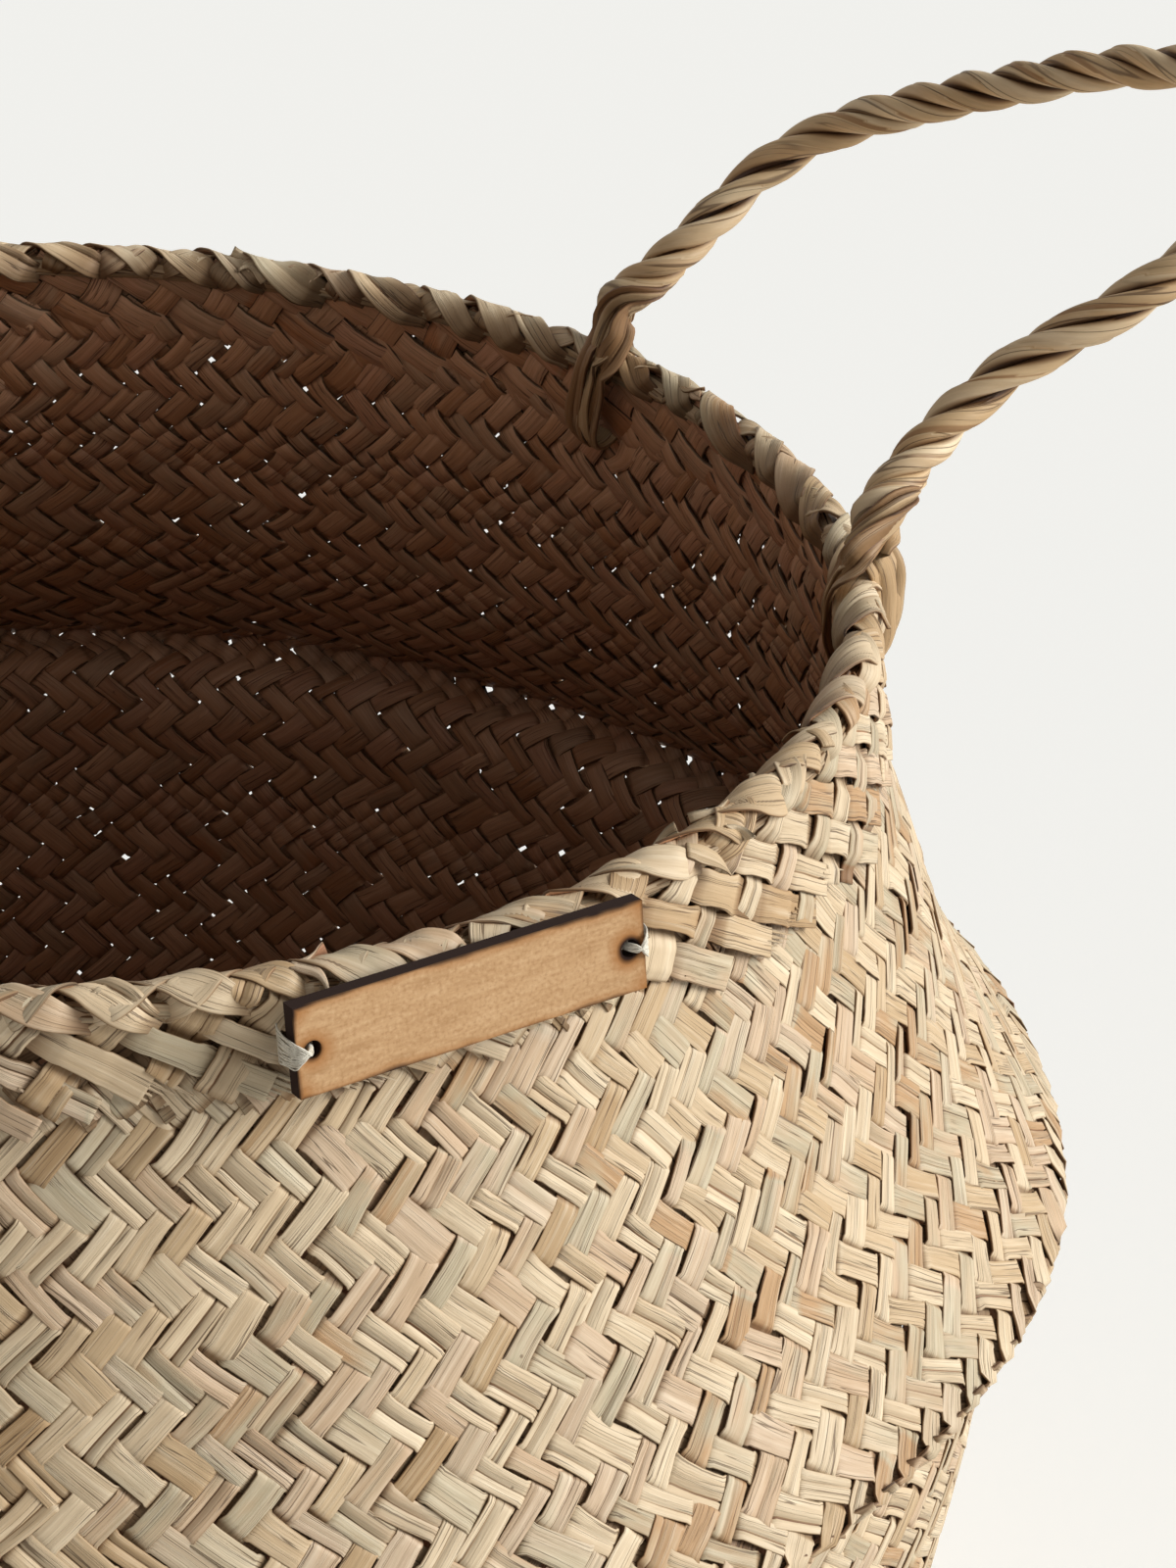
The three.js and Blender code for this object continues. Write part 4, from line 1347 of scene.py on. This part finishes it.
def tag_material():
    material = bpy.data.materials.new("tag_wood_burnt")
    n = Nodes(material)
    geometry = n.add("ShaderNodeTexCoord")

    def along_axis(axis, origin):
        shifted = n.add("ShaderNodeVectorMath", operation="SUBTRACT")
        n.put(shifted.inputs[0], geometry.outputs["Object"])
        shifted.inputs[1].default_value = tuple(origin)
        dot = n.add("ShaderNodeVectorMath", operation="DOT_PRODUCT")
        n.put(dot.inputs[0], shifted.outputs[0])
        dot.inputs[1].default_value = tuple(axis)
        return dot.outputs["Value"]

    x = along_axis(TAG_X, TAG_ORIGIN)
    y = along_axis(TAG_Y, TAG_ORIGIN)
    z = along_axis(TAG_NORMAL, TAG_ORIGIN)
    grain = n.noise(n.vector(n.times(x, 140.0), n.times(y, 900.0), n.times(z, 140.0)), 1.0, 4.0, 0.6)
    fleck = n.noise(n.vector(n.times(x, 1500.0), n.times(y, 1500.0), z), 1.0, 2.0)
    cloud = n.noise(n.vector(n.times(x, 90.0), n.times(y, 90.0), z), 1.0, 2.0)
    colour = n.ramp(grain, WOOD_SHADES)
    colour = n.mix(n.range(fleck, 0.52, 0.68, 0.0, 0.45), colour, WOOD_DARK)
    colour = n.mix(n.range(fleck, 0.30, 0.44, 0.30, 0.0), colour, WOOD_PALE)
    wobble = n.times(n.minus(cloud, 0.5), BURN_WOBBLE)
    gap_x = n.minus(TAG_LENGTH / 2, n.math("ABSOLUTE", x))
    gap_y = n.minus(TAG_HEIGHT / 2, n.math("ABSOLUTE", y))
    gap = n.plus(n.math("MINIMUM", gap_x, gap_y), wobble)
    corner = n.plus(n.plus(gap_x, gap_y), wobble)
    hole_x = n.minus(n.math("ABSOLUTE", x), TAG_HOLE_SPACING / 2)
    from_hole = n.math("SQRT", n.plus(n.times(hole_x, hole_x), n.times(y, y)))
    from_hole = n.plus(from_hole, wobble)
    warm = n.most(n.range(gap, *EDGE_BROWN, 0.6, 0.0), n.range(corner, *CORNER_BROWN, 0.85, 0.0))
    warm = n.most(warm, n.range(from_hole, TAG_HOLE_RADIUS, HOLE_BROWN_RADIUS, 1.0, 0.0))
    colour = n.mix(warm, colour, WOOD_BROWNED)
    hole_char = n.range(from_hole, TAG_HOLE_RADIUS * 0.95, TAG_HOLE_RADIUS + HOLE_CHAR_WIDTH, 1.0, 0.0)
    char = n.most(n.range(gap, *EDGE_CHAR, 1.0, 0.0), hole_char)
    char = n.most(char, n.range(z, TAG_THICKNESS - FACE_CHAR_FROM, TAG_THICKNESS - FACE_CHAR_TO, 1.0, 0.0))
    colour = n.mix(char, colour, WOOD_CHARRED)
    height = n.plus(n.times(grain, 0.5), n.times(fleck, 0.5))
    n.finish(colour, n.range(char, 0, 1, 0.55, 0.9), height, 0.3, FINE_BUMP, specular=0.2)
    return material


def cotton_material():
    material = bpy.data.materials.new("cotton_thread")
    n = Nodes(material)
    place = n.add("ShaderNodeTexCoord").outputs["Object"]
    fuzz = n.noise(place, 2600.0, 3.0)
    stain = n.noise(place, 420.0, 2.0)
    colour = n.ramp(fuzz, COTTON_SHADES)
    colour = n.mix(n.range(stain, 0.55, 0.75, 0.0, 0.5), colour, COTTON_STAIN)
    n.finish(colour, 0.85, fuzz, 0.6, FINE_BUMP)
    return material


tag_wood = tag_material()
cotton = cotton_material()

for piece in weave_pieces():
    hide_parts("woven_body")
for piece in band_pieces():
    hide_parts("turned_down_band")
for piece in rim_pieces():
    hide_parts("rim_border")

for side, handle in enumerate(("handle_right", "handle_left")):
    add_rope(side, f"{handle}_plies", f"{handle}_rope")
    for way, which in ((-1, "front"), (1, "back")):
        foot_side = way * (1 - 2 * side)
        eye_leaves(math.pi * side, foot_side, f"{handle}_{which}_leaves", f"{handle}_{which}_eye")

add_tag()
add_tie(-1, "tag_threads_left", "tag_tie_left")
add_tie(1, "tag_threads_right", "tag_tie_right")


# Camera at the photograph's angle. Its distances are shares of the rim's radius.
CAMERA_AZIMUTH = math.radians(-26)
CAMERA_ELEVATION = math.radians(28.622)
CAMERA_ROLL = math.radians(3.199)
CAMERA_RIGHT_SHARE = 0.672
CAMERA_UP_SHARE = -0.279
CAMERA_BACK_SHARE = 4.7
CAMERA_LENS = 90
CAMERA_SENSOR = 36


def direction(azimuth, elevation):
    level = math.cos(elevation)
    return Vector((math.sin(azimuth) * level, -math.cos(azimuth) * level, math.sin(elevation)))


def add_camera():
    roll = CAMERA_ROLL
    back = direction(CAMERA_AZIMUTH, CAMERA_ELEVATION)
    right = Vector((math.cos(CAMERA_AZIMUTH), math.sin(CAMERA_AZIMUTH), 0))
    up = back.cross(right)
    right, up = right * math.cos(roll) + up * math.sin(roll), up * math.cos(roll) - right * math.sin(roll)
    place = Vector((0, 0, RIM_Z)) + RIM_RADIUS * (
        CAMERA_RIGHT_SHARE * right + CAMERA_UP_SHARE * up + CAMERA_BACK_SHARE * back
    )
    data = bpy.data.cameras.new("camera")
    data.lens = CAMERA_LENS
    data.sensor_width = CAMERA_SENSOR
    data.sensor_fit = "AUTO"
    camera = put_in_scene("camera", data)
    camera.matrix_world = Matrix((
        *zip(right, up, back, place),
        (0, 0, 0, 1),
    ))
    bpy.context.scene.camera = camera


# Studio: a plain pale floor, a wide soft light from the right, and a pale surround

FLOOR_HALF = 6.0
BACKGROUND = (0.872, 0.880, 0.872)
FLOOR_COLOUR = (0.85, 0.85, 0.845, 1)
FLOOR_GLOW = 0.243               # shown to the camera only
FLOOR_GLOW_COLOUR = (0.88, 0.97, 1.0, 1)
SURROUND_LIGHT = 0.275
SURROUND_COLOUR = (1.0, 0.92, 0.83, 1)
KEY_STRENGTH = 3.75
KEY_COLOUR = (1.0, 0.985, 0.955)
KEY_SPREAD = math.radians(36)
KEY_AZIMUTH = math.radians(90)
KEY_ELEVATION = math.radians(25)


def add_studio():
    mesh = bpy.data.meshes.new("studio_floor")
    h = FLOOR_HALF
    mesh.from_pydata([(-h, -h, 0), (h, -h, 0), (h, h, 0), (-h, h, 0)], [], [(0, 1, 2, 3)])
    floor = put_in_scene("studio_floor", mesh)
    material = bpy.data.materials.new("studio_floor")
    n = Nodes(material)
    path = n.add("ShaderNodeLightPath")
    pale = n.add("ShaderNodeBsdfDiffuse")
    pale.inputs[0].default_value = FLOOR_COLOUR
    glow = n.add("ShaderNodeEmission")
    glow.inputs[0].default_value = FLOOR_GLOW_COLOUR
    n.put(glow.inputs[1], n.times(path.outputs["Is Camera Ray"], FLOOR_GLOW))
    both = n.add("ShaderNodeAddShader")
    output = n.add("ShaderNodeOutputMaterial")
    n.put(both.inputs[0], pale.outputs[0])
    n.put(both.inputs[1], glow.outputs[0])
    n.put(output.inputs[0], both.outputs[0])
    mesh.materials.append(material)

    world = bpy.data.worlds.new("surround")
    bpy.context.scene.world = world
    n = Nodes(world)
    path = n.add("ShaderNodeLightPath")
    seen = n.most(path.outputs["Is Camera Ray"], path.outputs["Is Glossy Ray"])
    seen = n.most(seen, path.outputs["Is Transmission Ray"])
    lit = n.add("ShaderNodeBackground")
    lit.inputs[0].default_value = SURROUND_COLOUR
    lit.inputs[1].default_value = SURROUND_LIGHT
    shown = n.add("ShaderNodeBackground")
    shown.inputs[0].default_value = (*BACKGROUND, 1)
    choose = n.add("ShaderNodeMixShader")
    output = n.add("ShaderNodeOutputWorld")
    n.put(choose.inputs[0], seen)
    n.put(choose.inputs[1], lit.outputs[0])
    n.put(choose.inputs[2], shown.outputs[0])
    n.put(output.inputs[0], choose.outputs[0])

    sun = bpy.data.lights.new("key", "SUN")
    sun.energy = KEY_STRENGTH
    sun.angle = KEY_SPREAD
    sun.color = KEY_COLOUR
    lamp = put_in_scene("key", sun)
    towards = direction(CAMERA_AZIMUTH + KEY_AZIMUTH, KEY_ELEVATION)
    lamp.rotation_mode = "QUATERNION"
    lamp.rotation_quaternion = towards.to_track_quat("Z", "Y")


add_camera()
add_studio()
bpy.context.scene.view_settings.view_transform = "Standard"
